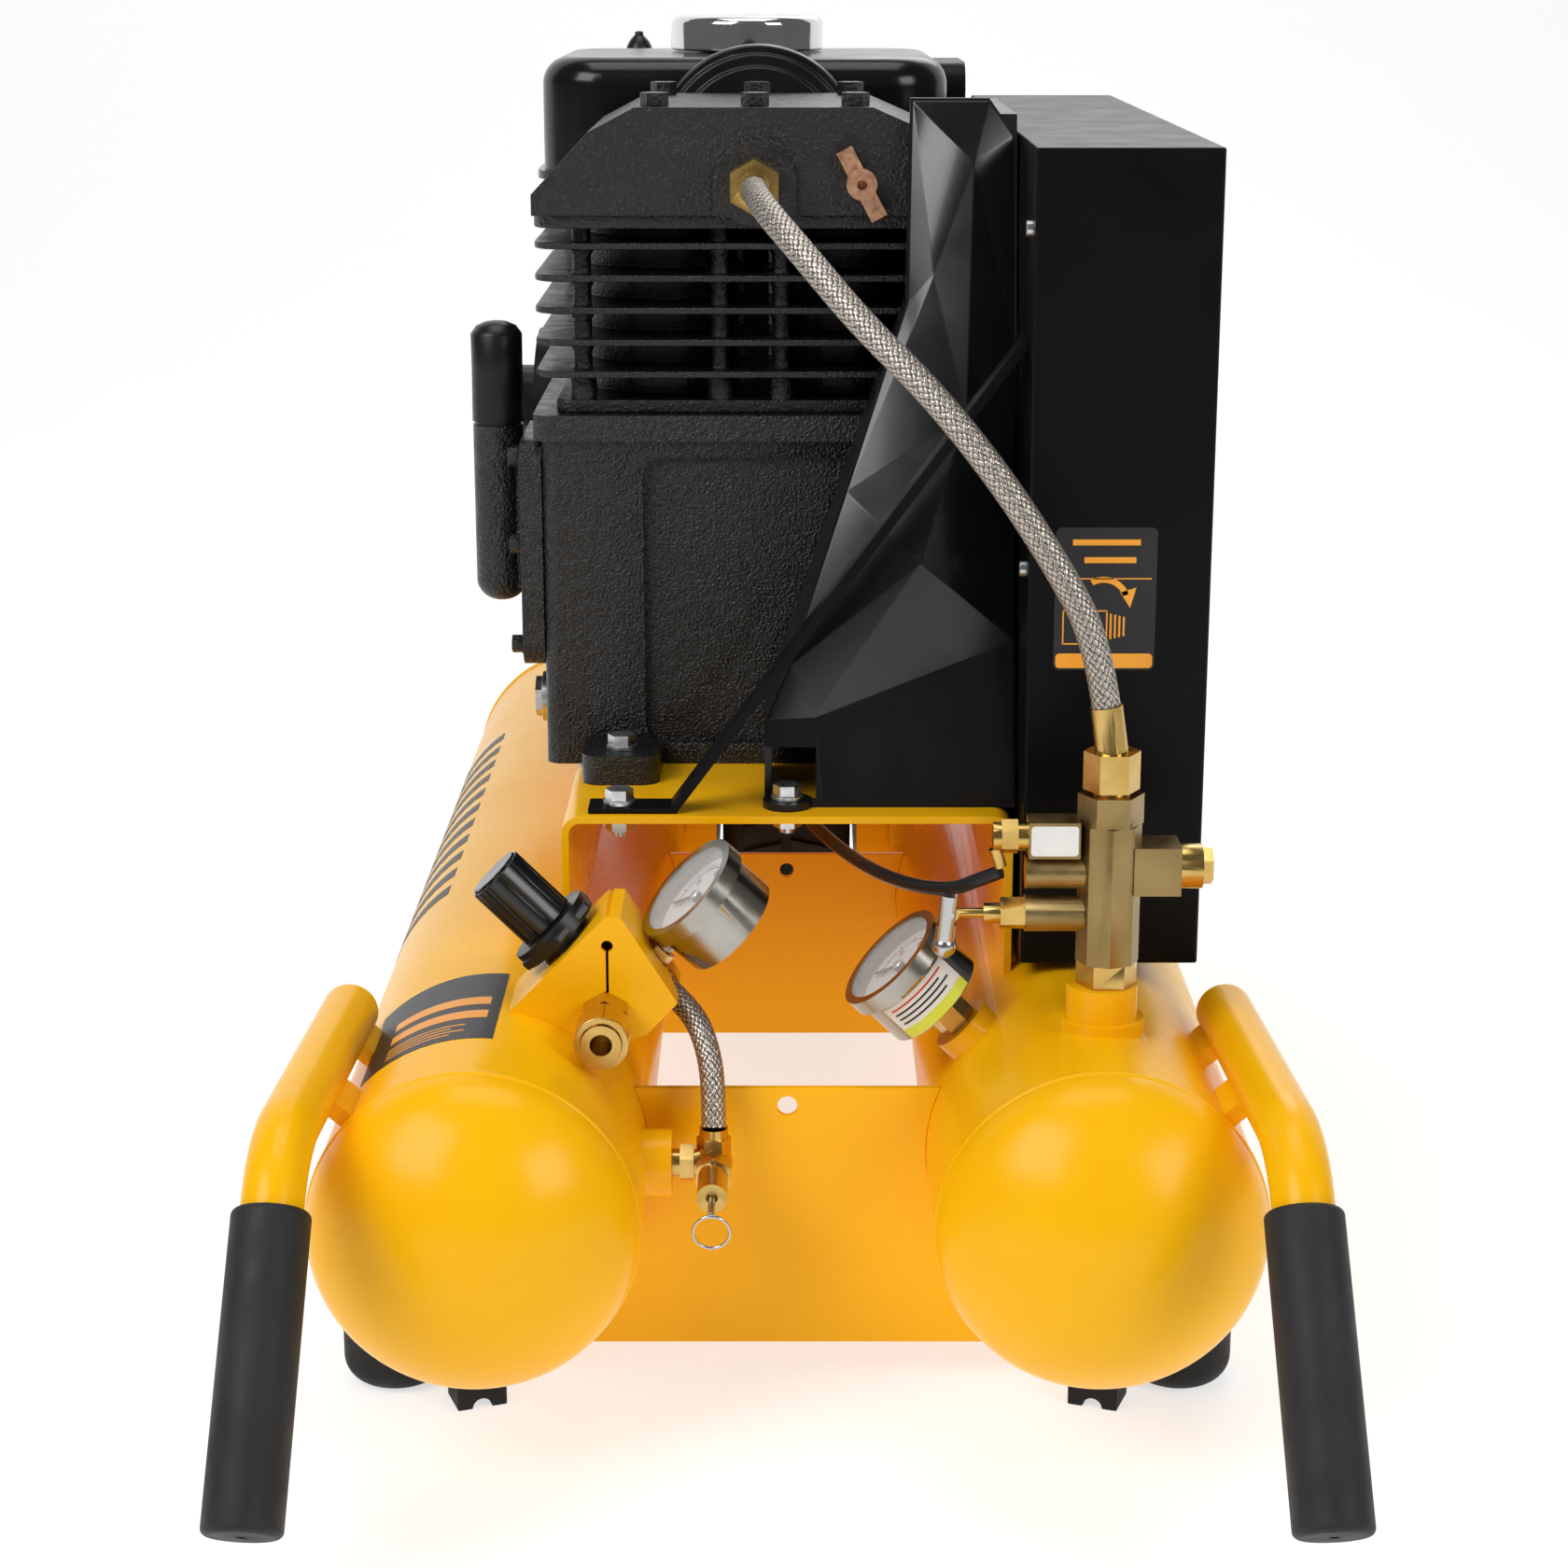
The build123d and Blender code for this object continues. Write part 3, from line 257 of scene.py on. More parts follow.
    glass = Paint("gauge_window", (0.95, 0.97, 0.98), 0.04).roughen(40, 0.02, 0.06)
    glass.shader.inputs["Alpha"].default_value = 0.22
    glass.shader.inputs["Transmission Weight"].default_value = 0.0
    glass.material.blend_method = "BLEND"
    paints["glass"] = glass
    return {name: paint.material for name, paint in paints.items()}


MATERIALS = {}

NODE_MATERIAL = {
    "yellow": ("tank_left", "tank_right", "deck", "cross_plates", "wheel_brackets", "handle_tubes",
               "regulator_bracket"),
    "casting": ("pump_cylinders", "pump_head", "pump_flywheel", "engine_block"),
    "rough": ("pump_crankcase", "pump_end_cover"),
    "sheet": ("belt_guard", "guard_strut", "recoil_housing", "muffler"),
    "tank": ("fuel_tank",),
    "plastic": ("air_shroud", "intake_filter", "oil_breather_cap", "recoil_handle", "air_cleaner",
                "air_cleaner_knob", "regulator_body", "regulator_knob", "pilot_tube"),
    "grip": ("handle_grips",),
    "rubber": ("rubber_feet", "wheel_tyre", "drive_belt"),
    "zinc": ("axle", "bolts", "oil_sight_glass", "throttle_lever"),
    "steel": ("crossover_pipe", "pump_crankshaft", "pump_bearings", "engine_pulley", "engine_crankshaft",
              "wheel_bearings"),
    "chrome": ("fuel_cap",),
    "bright": ("unloader_lever", "safety_ring"),
    "cast_brass": ("unloader_valve",),
    "brass": ("brass_fittings", "coupler_sleeve", "drain_key_left", "drain_key_right"),
    "copper": ("head_wing_valve",),
    "stainless": ("gauge_cases",),
    "aluminium": ("pistons_and_rods", "carburettor"),
    "dial": ("gauge_dials",),
    "ink": ("needle_outlet", "needle_tank"),
    "glass": ("gauge_lenses",),
    "rim": ("wheel_rim",),
    "braid": ("discharge_hose", "regulator_hose"),
}


def paint_nodes():
    for name, nodes in NODE_MATERIAL.items():
        for node in nodes:
            slots = frame["nodes"][node].data.materials
            slots.clear()
            slots.append(MATERIALS[name])


BODY_OF = {node: body for body, nodes in frame["record"]["behaviour"]["bodies"].items() for node in nodes}


# Mesh helpers ---------------------------------------------------------------------------------

def add_piece(name, mesh, material, body="frame"):
    """New piece with its material, riding on a body."""
    piece = bpy.data.objects.new(name, mesh)
    bpy.context.collection.objects.link(piece)
    mesh.materials.clear()
    mesh.materials.append(MATERIALS[material])
    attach(piece, body)
    return piece


def shade_smooth(mesh, angle=35):
    mesh.shade_smooth()
    mesh.set_sharp_from_angle(angle=math.radians(angle))


def finish_bmesh(name, bm, angle=35):
    bmesh.ops.recalc_face_normals(bm, faces=bm.faces)
    mesh = bpy.data.meshes.new(name)
    bm.to_mesh(mesh)
    bm.free()
    shade_smooth(mesh, angle)
    return mesh


def refine(node, width=0.0008, segments=2, angle=28):
    """Stands for a CAD node with the same solid, its hard edges given a real small round."""
    source = frame["nodes"][node]
    bm = bmesh.new()
    bm.from_mesh(source.data)
    bmesh.ops.remove_doubles(bm, verts=bm.verts, dist=1e-6)
    bmesh.ops.dissolve_limit(bm, angle_limit=math.radians(0.5), verts=bm.verts, edges=bm.edges)
    mesh = bpy.data.meshes.new(node + "_finished")
    bm.to_mesh(mesh)
    bm.free()
    shade_smooth(mesh, 40)
    piece = bpy.data.objects.new(node + "_finished", mesh)
    bpy.context.collection.objects.link(piece)
    mesh.materials.clear()
    mesh.materials.append(source.data.materials[0])
    bevel = piece.modifiers.new("edge_round", "BEVEL")
    bevel.width, bevel.segments, bevel.limit_method = width, segments, "ANGLE"
    bevel.angle_limit = math.radians(angle)
    bevel.harden_normals = True
    bevel.use_clamp_overlap = True
    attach(piece, BODY_OF[node])
    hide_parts(node)
    return piece


REFINED = {
    "deck": 0.0008, "cross_plates": 0.0006, "regulator_bracket": 0.0008, "pump_crankcase": 0.0015,
    "pump_end_cover": 0.0015, "pump_cylinders": 0.0009, "pump_head": 0.0018, "engine_block": 0.002,
    "belt_guard": 0.0012, "guard_strut": 0.0006, "unloader_valve": 0.0006, "brass_fittings": 0.0005,
    "gauge_cases": 0.0006, "regulator_body": 0.0008, "fuel_cap": 0.0012, "bolts": 0.0005,
    "coupler_sleeve": 0.0005, "muffler": 0.0012, "air_cleaner": 0.002, "carburettor": 0.001,
    "recoil_housing": 0.002, "intake_filter": 0.0015, "oil_sight_glass": 0.0005, "wheel_brackets": 0.0005,
    "tank_left": 0.0012, "tank_right": 0.0012, "head_wing_valve": 0.0004, "throttle_lever": 0.0004,
    "rubber_feet": 0.002, "handle_grips": 0.0008,
}


# Hoses ----------------------------------------------------------------------------------------

DISCHARGE_ROUTE = [(-0.017, -0.163, 0.604), (-0.014, -0.197, 0.600), (0.007, -0.233, 0.579),
                   (0.036, -0.259, 0.547), (0.070, -0.281, 0.516), (0.102, -0.299, 0.478),
                   (0.129, -0.311, 0.438), (0.148, -0.318, 0.404), (0.1535, -0.3203, 0.371)]
REGULATOR_ROUTE = [(-0.063, -0.273, 0.213), (-0.048, -0.283, 0.203), (-0.040, -0.296, 0.1875),
                   (-0.037, -0.308, 0.170), (-0.037, -0.314, 0.152)]
PILOT_ROUTE = [(0.104, -0.321, 0.288), (0.093, -0.316, 0.282), (0.081, -0.306, 0.274),
               (0.062, -0.282, 0.269), (0.044, -0.250, 0.267), (0.028, -0.215, 0.268),
               (0.014, -0.175, 0.270), (0.004, -0.130, 0.271), (-0.009, -0.084, 0.272),
               (-0.026, -0.039, 0.271), (-0.044, 0.006, 0.270), (-0.055, 0.052, 0.272),
               (-0.058, 0.098, 0.275)]


def centreline(name, route):
    """Points along the smooth curve that the route controls."""
    curve = bpy.data.curves.new(name, "CURVE")
    curve.dimensions = "3D"
    curve.resolution_u = 24
    spline = curve.splines.new("NURBS")
    spline.points.add(len(route) - 1)
    for point, place in zip(spline.points, route):
        point.co = (*place, 1)
    spline.order_u = 3
    spline.use_endpoint_u = True
    line = bpy.data.objects.new(name, curve)
    bpy.context.collection.objects.link(line)
    bpy.context.view_layer.update()
    mesh = bpy.data.meshes.new_from_object(line)
    points = [vertex.co.copy() for vertex in mesh.vertices]
    bpy.data.objects.remove(line)
    return points


def spaced(points, step):
    """The same line, its points an even distance apart."""
    reach = [0.0]
    for start, stop in zip(points, points[1:]):
        reach.append(reach[-1] + (stop - start).length)
    count = max(2, round(reach[-1] / step))
    result, index = [], 0
    for number in range(count + 1):
        goal = reach[-1] * number / count
        while index < len(points) - 2 and reach[index + 1] < goal:
            index += 1
        share = (goal - reach[index]) / (reach[index + 1] - reach[index])
        result.append(points[index].lerp(points[index + 1], share))
    return result


def frames_along(points):
    """(point, side, up) along a line, without twist."""
    tangents = [(points[min(i + 1, len(points) - 1)] - points[max(i - 1, 0)]).normalized()
                for i in range(len(points))]
    side = tangents[0].orthogonal().normalized()
    result = []
    for point, tangent in zip(points, tangents):
        side = (side - tangent * side.dot(tangent)).normalized()
        result.append((point, side, tangent.cross(side)))
    return result


def tube_mesh(name, points, radius_at, around, shade=None):
    """Tube along a line; radius_at(distance, turn) gives its radius, shade its colour value: painted shade and
    highlight, stored as vertex colour.
    """
    bm = bmesh.new()
    # Vertex colour layer that holds painted light on the braid, when shade is given.
    layer = bm.loops.layers.color.new("braid_light_paint") if shade else None
    rings, distance, values = [], 0.0, {}
    line = frames_along(points)
    for number, (point, side, up) in enumerate(line):
        if number:
            distance += (point - line[number - 1][0]).length
        ring = []
        for step in range(around):
            turn = step / around
            angle = 2 * math.pi * turn
            radius = radius_at(distance, turn)
            vertex = bm.verts.new(point + radius * (math.cos(angle) * side + math.sin(angle) * up))
            if shade:
                values[vertex] = shade(distance, turn)
            ring.append(vertex)
        rings.append(ring)
    for near, far in zip(rings, rings[1:]):
        for step in range(around):
            after = (step + 1) % around
            bm.faces.new((near[step], near[after], far[after], far[step]))
    bm.faces.new(rings[0][::-1])
    bm.faces.new(rings[-1])
    if shade:
        for face in bm.faces:
            for loop in face.loops:
                value = values[loop.vert]
                loop[layer] = (0.92 * value, 0.88 * value, 0.83 * value, 1)
    return finish_bmesh(name, bm, 60)


def braid_height(distance, turn, carriers, pitch):
    """Height, 0 to 1, of a woven braid: two sets of helical bands that pass over and under."""
    right = carriers * turn + distance / pitch
    left = carriers * turn - distance / pitch
    over = (math.floor(right) + math.floor(left)) % 2 == 0
    band = right if over else left
    across = abs(2 * (band - math.floor(band)) - 1)
    return math.sqrt(max(0.0, 1 - across ** 3))


def painted_braid_light(distance, turn, carriers, pitch):
    """Painted light on the braid: a painted highlight across each single wire and painted shade in the dark
    gaps between bands.
    """
    right = carriers * turn + distance / pitch
    left = carriers * turn - distance / pitch
    over = (math.floor(right) + math.floor(left)) % 2 == 0
    band = right if over else left
    wire = 0.5 + 0.5 * math.cos(2 * math.pi * 4 * band)
    return (0.03 + 0.97 * braid_height(distance, turn, carriers, pitch) ** 1.6) * (0.7 + 0.3 * wire)


def braided_hose(name, node, route, radius, carriers, pitch):
    points = spaced(centreline(name, route), 0.0005)
    around = 120
    depth = 0.0010

    def surface(distance, turn):
        return radius - depth * (1 - braid_height(distance, turn, carriers, pitch))

    # Painted shade and highlight of the braid, kept in the hose's vertex colour.
    def shade(distance, turn):
        return painted_braid_light(distance, turn, carriers, pitch)

    hose = add_piece(name, tube_mesh(name, points, surface, around, shade), "braid")
    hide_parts(node)
    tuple(route[0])


def make_hoses():
    braided_hose("discharge_hose_braid", "discharge_hose", DISCHARGE_ROUTE, 0.007, 12, 0.0042)
    braided_hose("regulator_hose_braid", "regulator_hose", REGULATOR_ROUTE, 0.00625, 12, 0.0042)
    points = spaced(centreline("pilot_line", PILOT_ROUTE), 0.002)
    mesh = tube_mesh("pilot_tube_smooth", points, lambda distance, turn: 0.0035, 24)
    tube = add_piece("pilot_tube_smooth", mesh, "plastic")
    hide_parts("pilot_tube")
    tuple(PILOT_ROUTE[0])


# Turned and flat pieces -----------------------------------------------------------------------

def axis_frame(centre, normal, side):
    """Matrix whose Z is the normal and X the side direction, placed at the centre (metres)."""
    z = Vector(normal).normalized()
    x = (Vector(side) - z * Vector(side).dot(z)).normalized()
    y = z.cross(x)
    matrix = Matrix((x, y, z)).transposed().to_4x4()
    matrix.translation = Vector(centre)
    return matrix


def lathe(name, profile, place, around=64, angle=35):
    """Solid of revolution: profile is (radius, height) along the place's Z, in metres."""
    bm = bmesh.new()
    rings = []
    for radius, height in profile:
        if radius < 1e-6:
            rings.append([bm.verts.new((0, 0, height))])
            continue
        rings.append([bm.verts.new((radius * math.cos(2 * math.pi * step / around),
                                    radius * math.sin(2 * math.pi * step / around), height))
                      for step in range(around)])
    for near, far in zip(rings, rings[1:]):
        for step in range(around):
            after = (step + 1) % around
            corners = [near[step % len(near)], near[after % len(near)],
                       far[after % len(far)], far[step % len(far)]]
            unique = list(dict.fromkeys(corners))
            if len(unique) > 2:
                bm.faces.new(unique)
    bm.transform(place)
    return finish_bmesh(name, bm, angle)


def prism(bm, outline, low, high):
    """Adds a prism of a flat outline (x, y) between two heights to a bmesh."""
    bottom = [bm.verts.new((x, y, low)) for x, y in outline]
    top = [bm.verts.new((x, y, high)) for x, y in outline]
    count = len(outline)
    for step in range(count):
        after = (step + 1) % count
        bm.faces.new((bottom[step], bottom[after], top[after], top[step]))
    bm.faces.new(bottom[::-1])
    bm.faces.new(top)


def bar(middle, length, width, angle):
    """Outline of a bar, its length along the angle."""
    along = Vector((math.cos(angle), math.sin(angle)))
    across = Vector((-along.y, along.x))
    middle = Vector(middle)
    return [tuple(middle + a * along * length / 2 + b * across * width / 2)
            for a, b in ((-1, -1), (1, -1), (1, 1), (-1, 1))]


def rounded(x0, x1, y0, y1, radius, steps=6):
    """Outline of a rectangle with round corners."""
    outline = []
    for cx, cy, start in ((x1 - radius, y0 + radius, -90), (x1 - radius, y1 - radius, 0),
                          (x0 + radius, y1 - radius, 90), (x0 + radius, y0 + radius, 180)):
        for step in range(steps + 1):
            angle = math.radians(start + 90 * step / steps)
            outline.append((cx + radius * math.cos(angle), cy + radius * math.sin(angle)))
    return outline


# Gauges ---------------------------------------------------------------------------------------

GAUGES = {
    "outlet": ((-0.0514, -0.2730, 0.2653), (-0.70, -0.17, 0.69)),
    "tank": ((0.0516, -0.2746, 0.2289), (-0.707, -0.09, 0.707)),
}
DIAL_DEPTH = 0.009
SWEEP_START, SWEEP = 225, 270


def gauge_frame(name):
    centre, normal = GAUGES[name]
    side = Vector((0.707, 0, 0.707)).cross(Vector(normal))
    return axis_frame(centre, normal, side)


def figure(text, size):
    """Mesh of a printed number, centred, in the XY plane."""
    curve = bpy.data.curves.new("figure", "FONT")
    curve.body, curve.size, curve.extrude = text, size, 0.00004
    curve.align_x, curve.align_y = "CENTER", "CENTER"
    writing = bpy.data.objects.new("figure", curve)
    bpy.context.collection.objects.link(writing)
    bpy.context.view_layer.update()
    mesh = bpy.data.meshes.new_from_object(writing)
    bpy.data.objects.remove(writing)
    return mesh


def dial_print(name):
    """Scale of ticks and numbers printed on one dial."""
    bm = bmesh.new()
    height = -DIAL_DEPTH + 0.00006
    for step in range(41):
        angle = math.radians(SWEEP_START - SWEEP * step / 40)
        major = step % 4 == 0
        length, width = (0.0042, 0.0006) if major else (0.0024, 0.0003)
        middle = 0.0235 - length / 2
        prism(bm, bar((middle * math.cos(angle), middle * math.sin(angle)), length, width, angle),
              height - 0.00004, height)
    for step in range(6):
        angle = math.radians(SWEEP_START - SWEEP * step / 5)
        mesh = figure(str(40 * step), 0.0052)
        mesh.transform(Matrix.Translation((0.0158 * math.cos(angle), 0.0158 * math.sin(angle), height)))
        bm.from_mesh(mesh)
    bm.transform(gauge_frame(name))
    add_piece(name + "_dial_print", finish_bmesh(name + "_dial_print", bm), "ink")


def dial_band(name):
    """Coloured arc printed inside the scale."""
    bm = bmesh.new()
    inner, outer, steps = 0.0194, 0.0203, 60
    low, high = -DIAL_DEPTH + 0.00001, -DIAL_DEPTH + 0.00004
    arc = [math.radians(SWEEP_START - SWEEP * step / steps) for step in range(steps + 1)]
    outline = [(outer * math.cos(a), outer * math.sin(a)) for a in arc]
    outline += [(inner * math.cos(a), inner * math.sin(a)) for a in reversed(arc)]
    prism(bm, outline, low, high)
    bm.transform(gauge_frame(name))
    add_piece(name + "_dial_band", finish_bmesh(name + "_dial_band", bm), "red")


def gauge_hub(name, body):
    """Turned cap over the needle's hub."""
    place = gauge_frame(name) @ Matrix.Translation((0, 0, -0.0068))
    profile = [(0, 0), (0.0030, 0), (0.0030, 0.0010), (0.0024, 0.0016), (0, 0.0018)]
    add_piece(name + "_hub_cap", lathe(name + "_hub_cap", profile, place, 32), "zinc", body)


def rim_seal(name):
    """Rubber ring between the window and the bezel."""
    section = 0.0006
    profile = [(0.0272 + section * math.cos(a), -0.0010 + section * math.sin(a))
               for a in (math.radians(30 * step) for step in range(13))]
    add_piece(name + "_window_seal", lathe(name + "_window_seal", profile, gauge_frame(name), 96, 80),
              "rubber")


def make_gauges():
    for name, body in (("outlet", "outlet_needle"), ("tank", "tank_needle")):
        dial_print(name)
        dial_band(name)
        gauge_hub(name, body)
        rim_seal(name)


# Labels ---------------------------------------------------------------------------------------

def flat_label(name, place, layers):
    """Printed label: each layer is (material, low, high, outlines), on the place's XY plane."""
    for number, (material, low, high, outlines) in enumerate(layers):
        bm = bmesh.new()
        for outline in outlines:
            prism(bm, outline, low, high)
        bm.transform(place)
        piece = f"{name}_{number}"
        add_piece(piece, finish_bmesh(piece, bm), material)


def arc_band(middle, inner, outer, start, stop, steps=16):
    """Outline of a stretch of a ring."""
    cx, cy = middle
    arc = [math.radians(start + (stop - start) * step / steps) for step in range(steps + 1)]
    outline = [(cx + outer * math.cos(a), cy + outer * math.sin(a)) for a in arc]
    return outline + [(cx + inner * math.cos(a), cy + inner * math.sin(a)) for a in reversed(arc)]


def guard_label():
    """Black and orange pictogram label on the belt guard: a valve, a turning arrow and a strip."""
    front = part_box("belt_guard")[0][1]
    place = axis_frame((0.160, front, 0.407), (0, -1, 0), (1, 0, 0))
    w, h = 0.0255, 0.0365
    divider = [bar((0, 0.0105), 0.046, 0.0006, 0)]
    box = [bar((-0.010, -0.0060), 0.022, 0.0007, 0), bar((-0.010, -0.0230), 0.022, 0.0007, 0),
           bar((-0.021, -0.0145), 0.0177, 0.0007, math.pi / 2),
           bar((0.001, -0.0145), 0.0177, 0.0007, math.pi / 2)]
    lines = [bar((0, 0.0290), 0.034, 0.0030, 0), bar((0.002, 0.0200), 0.026, 0.0030, 0)]
    arrow = [arc_band((-0.001, -0.0020), 0.0105, 0.0135, 20, 120),
             [(0.0075, 0.0035), (0.0155, 0.0060), (0.0125, -0.0045)]]
    knob = [bar((0.0030 + 0.0022 * step, -0.0140), 0.013 - 0.001 * step, 0.0010, math.pi / 2)
            for step in range(4)]
    strip = [rounded(-w + 0.001, w - 0.001, -h + 0.001, -h + 0.0085, 0.002)]
    flat_label("guard_label", place, [
        ("label", 0, 0.00012, [rounded(-w, w, -h, h, 0.003)]),
        ("orange", 0.00010, 0.00018, divider + box + lines + arrow + knob + strip)])


def curved_label(name, centre_x, centre_z, radius, turn0, turn1, y0, y1, material, lift):
    """Thin patch bent over a tank's shell, between two angles from its top and two places along it."""
    bm = bmesh.new()
    steps = 24
    rows = []
    for step in range(steps + 1):
        angle = math.radians(turn0 + (turn1 - turn0) * step / steps)
        direction = Vector((math.sin(angle), 0, math.cos(angle)))
        row = []
        for y, reach in ((y0, radius + lift - 0.0002), (y1, radius + lift - 0.0002),
                         (y1, radius + lift), (y0, radius + lift)):
            row.append(bm.verts.new(Vector((centre_x, y, centre_z)) + direction * reach))
        rows.append(row)
    for near, far in zip(rows, rows[1:]):
        for step in range(4):
            after = (step + 1) % 4
            bm.faces.new((near[step], near[after], far[after], far[step]))
    bm.faces.new(rows[0][::-1])
    bm.faces.new(rows[-1])
    add_piece(name, finish_bmesh(name, bm, 40), material)


TANK_X, TANK_Z, TANK_R = 0.151, 0.1295, 0.080
HEAD_NEAR_Y, HEAD_FAR_Y = -0.390, 0.509


def make_labels():
    guard_label()
    curved_label("tank_label", -TANK_X, TANK_Z, TANK_R, -47, 5, -0.342, -0.244, "label", 0.00015)
    for number, (y, depth) in enumerate(((-0.292, 0.011), (-0.312, 0.011))):
        curved_label(f"tank_label_bar_{number}", -TANK_X, TANK_Z, TANK_R, -36, 1, y, y + depth,
                     "orange", 0.00025)
    for number in range(4):
        y = -0.322 - 0.0042 * number
        curved_label(f"tank_label_line_{number}", -TANK_X, TANK_Z, TANK_R, -36, -6 - 5 * (number % 2),
                     y, y + 0.0014, "orange", 0.00025)
    curved_label("tank_stripe_edge", -TANK_X, TANK_Z, TANK_R, -70, -66.5, -0.07, 0.345, "label", 0.00015)
    for number in range(11):
        y = -0.06 + 0.036 * number
        curved_label(f"tank_stripe_{number}", -TANK_X, TANK_Z, TANK_R, -64, -34, y, y + 0.017,
                     "label", 0.00015)


# Wheel ----------------------------------------------------------------------------------------

WHEEL_Y, WHEEL_R = 0.444, 0.1275


def make_tread():
    """Two staggered rows of tread blocks on the tyre, sunk to its outline."""
    bm = bmesh.new()
    count, height = 44, 0.0035
    for row, (x0, x1, shift) in enumerate(((-0.030, -0.003, 0.0), (0.003, 0.030, 0.5))):
        for step in range(count):
            start = 2 * math.pi * (step + shift) / count
            stop = start + 2 * math.pi * 0.68 / count
            skew = 0.35 * 2 * math.pi / count * (1 if row else -1)
            corners = []
            for reach in (WHEEL_R - height, WHEEL_R - 0.0001):
                for x, lean in ((x0, 0), (x1, skew)):
                    crown = 0.0012 * (abs(x) / 0.030) ** 2
                    for angle in (start + lean, stop + lean):
                        corners.append(bm.verts.new((x, WHEEL_Y + (reach - crown) * math.cos(angle),
                                                     WHEEL_R + (reach - crown) * math.sin(angle))))
            a, b, c, d, e, f, g, h = corners
            for face in ((a, b, d, c), (e, g, h, f), (a, e, f, b), (c, d, h, g), (a, c, g, e), (b, f, h, d)):
                bm.faces.new(face)
    mesh = finish_bmesh("tyre_tread", bm, 20)
    tread = add_piece("tyre_tread", mesh, "rubber", "wheel")
    bevel = tread.modifiers.new("block_round", "BEVEL")
    bevel.width, bevel.segments = 0.0006, 2


# Mouldings and small parts --------------------------------------------------------------------

def slope(x, z, bulge):
    """Point on the shroud's leaning front face, raised from it (millimetres in, metres out)."""
    lean = 79 / 368
    y = -201.4 + (z - 287) * lean
    normal = Vector((0, -1, -lean)).normalized() * bulge
    return Vector((x + normal.x, y + normal.y, z + normal.z)) * MM


def make_shroud_facets():
    """Folded plastic front of the air shroud: flat facets that meet in soft ridges."""
    rim = [slope(x, z, 0) for x, z in ((18, 289), (119, 289), (119, 373), (118.5, 518), (117.5, 629),
                                       (105, 646.5), (65, 646.5), (63, 545), (-11, 332), (14, 333))]
    inner = {"top": slope(97, 618, 7), "peak": slope(76, 560, 4), "fold": slope(93, 492, 12),
             "left": slope(31, 450, 4), "low": slope(2, 362, 4), "ridge": slope(69, 419, 17)}
    facets = ((4, 5, "top"), (3, 4, "top"), (5, 6, "top"), (6, "peak", "top"), (6, 7, "peak"),
              (3, "top", "fold"), ("top", "peak", "fold"), ("peak", "left", "fold"), (7, "left", "peak"),
              (2, 3, "fold"), (2, "fold", "ridge"), ("fold", "left", "ridge"), ("left", "low", "ridge"),
              (7, "low", "left"), (7, 8, "low"), (8, 9, "low"), ("low", 9, "ridge"), (9, 2, "ridge"),
              (9, 0, 2), (0, 1, 2))
    bm = bmesh.new()
    verts = {number: bm.verts.new(point) for number, point in enumerate(rim)}
    verts.update({name: bm.verts.new(point) for name, point in inner.items()})
    for facet in facets:
        bm.faces.new([verts[key] for key in facet])
    back = [bm.verts.new(point + Vector((0, 0.0012, 0))) for point in rim]
    count = len(rim)
    for step in range(count):
        after = (step + 1) % count
        bm.faces.new((verts[step], verts[after], back[after], back[step]))
    bm.faces.new(back)
    piece = add_piece("shroud_facets", finish_bmesh("shroud_facets", bm, 60), "gloss")
    bevel = piece.modifiers.new("ridge_round", "BEVEL")
    bevel.width, bevel.segments, bevel.limit_method = 0.009, 6, "ANGLE"
    bevel.angle_limit = math.radians(3)


def make_studs():
    """Long studs through the fins, in front of and between the barrels."""
    foot, top = 0.4875, 0.583
    for number, x in enumerate((-0.110, -0.036, -0.003, 0.076)):
        profile = [(0, foot), (0.0072, foot)]
        for z in (0.5015, 0.5185, 0.5355, 0.5525, 0.5695):
            profile += [(0.0072, z - 0.001), (0.0050, z + 0.004), (0.0050, z + 0.012)]
        profile += [(0.0072, top), (0, top)]
        place = Matrix.Translation((x, -0.096, 0))
        name = f"cylinder_stud_{number}"
        add_piece(name, lathe(name, profile, place, 24, 50), "casting")


KNOB_START, KNOB_END = Vector((-0.1219, -0.271, 0.2459)), Vector((-0.1488, -0.271, 0.2728))


def grooved_outline(radius, count, depth, share):
    """Circle with narrow round grooves cut in it."""
    outline = []
    steps = count * 12
    for step in range(steps):
        turn = step / steps * count % 1
        cut = depth * math.cos(math.pi * (turn - 0.5) / share) if abs(turn - 0.5) < share / 2 else 0.0
        angle = 2 * math.pi * step / steps
        outline.append(((radius - cut) * math.cos(angle), (radius - cut) * math.sin(angle)))
    return outline


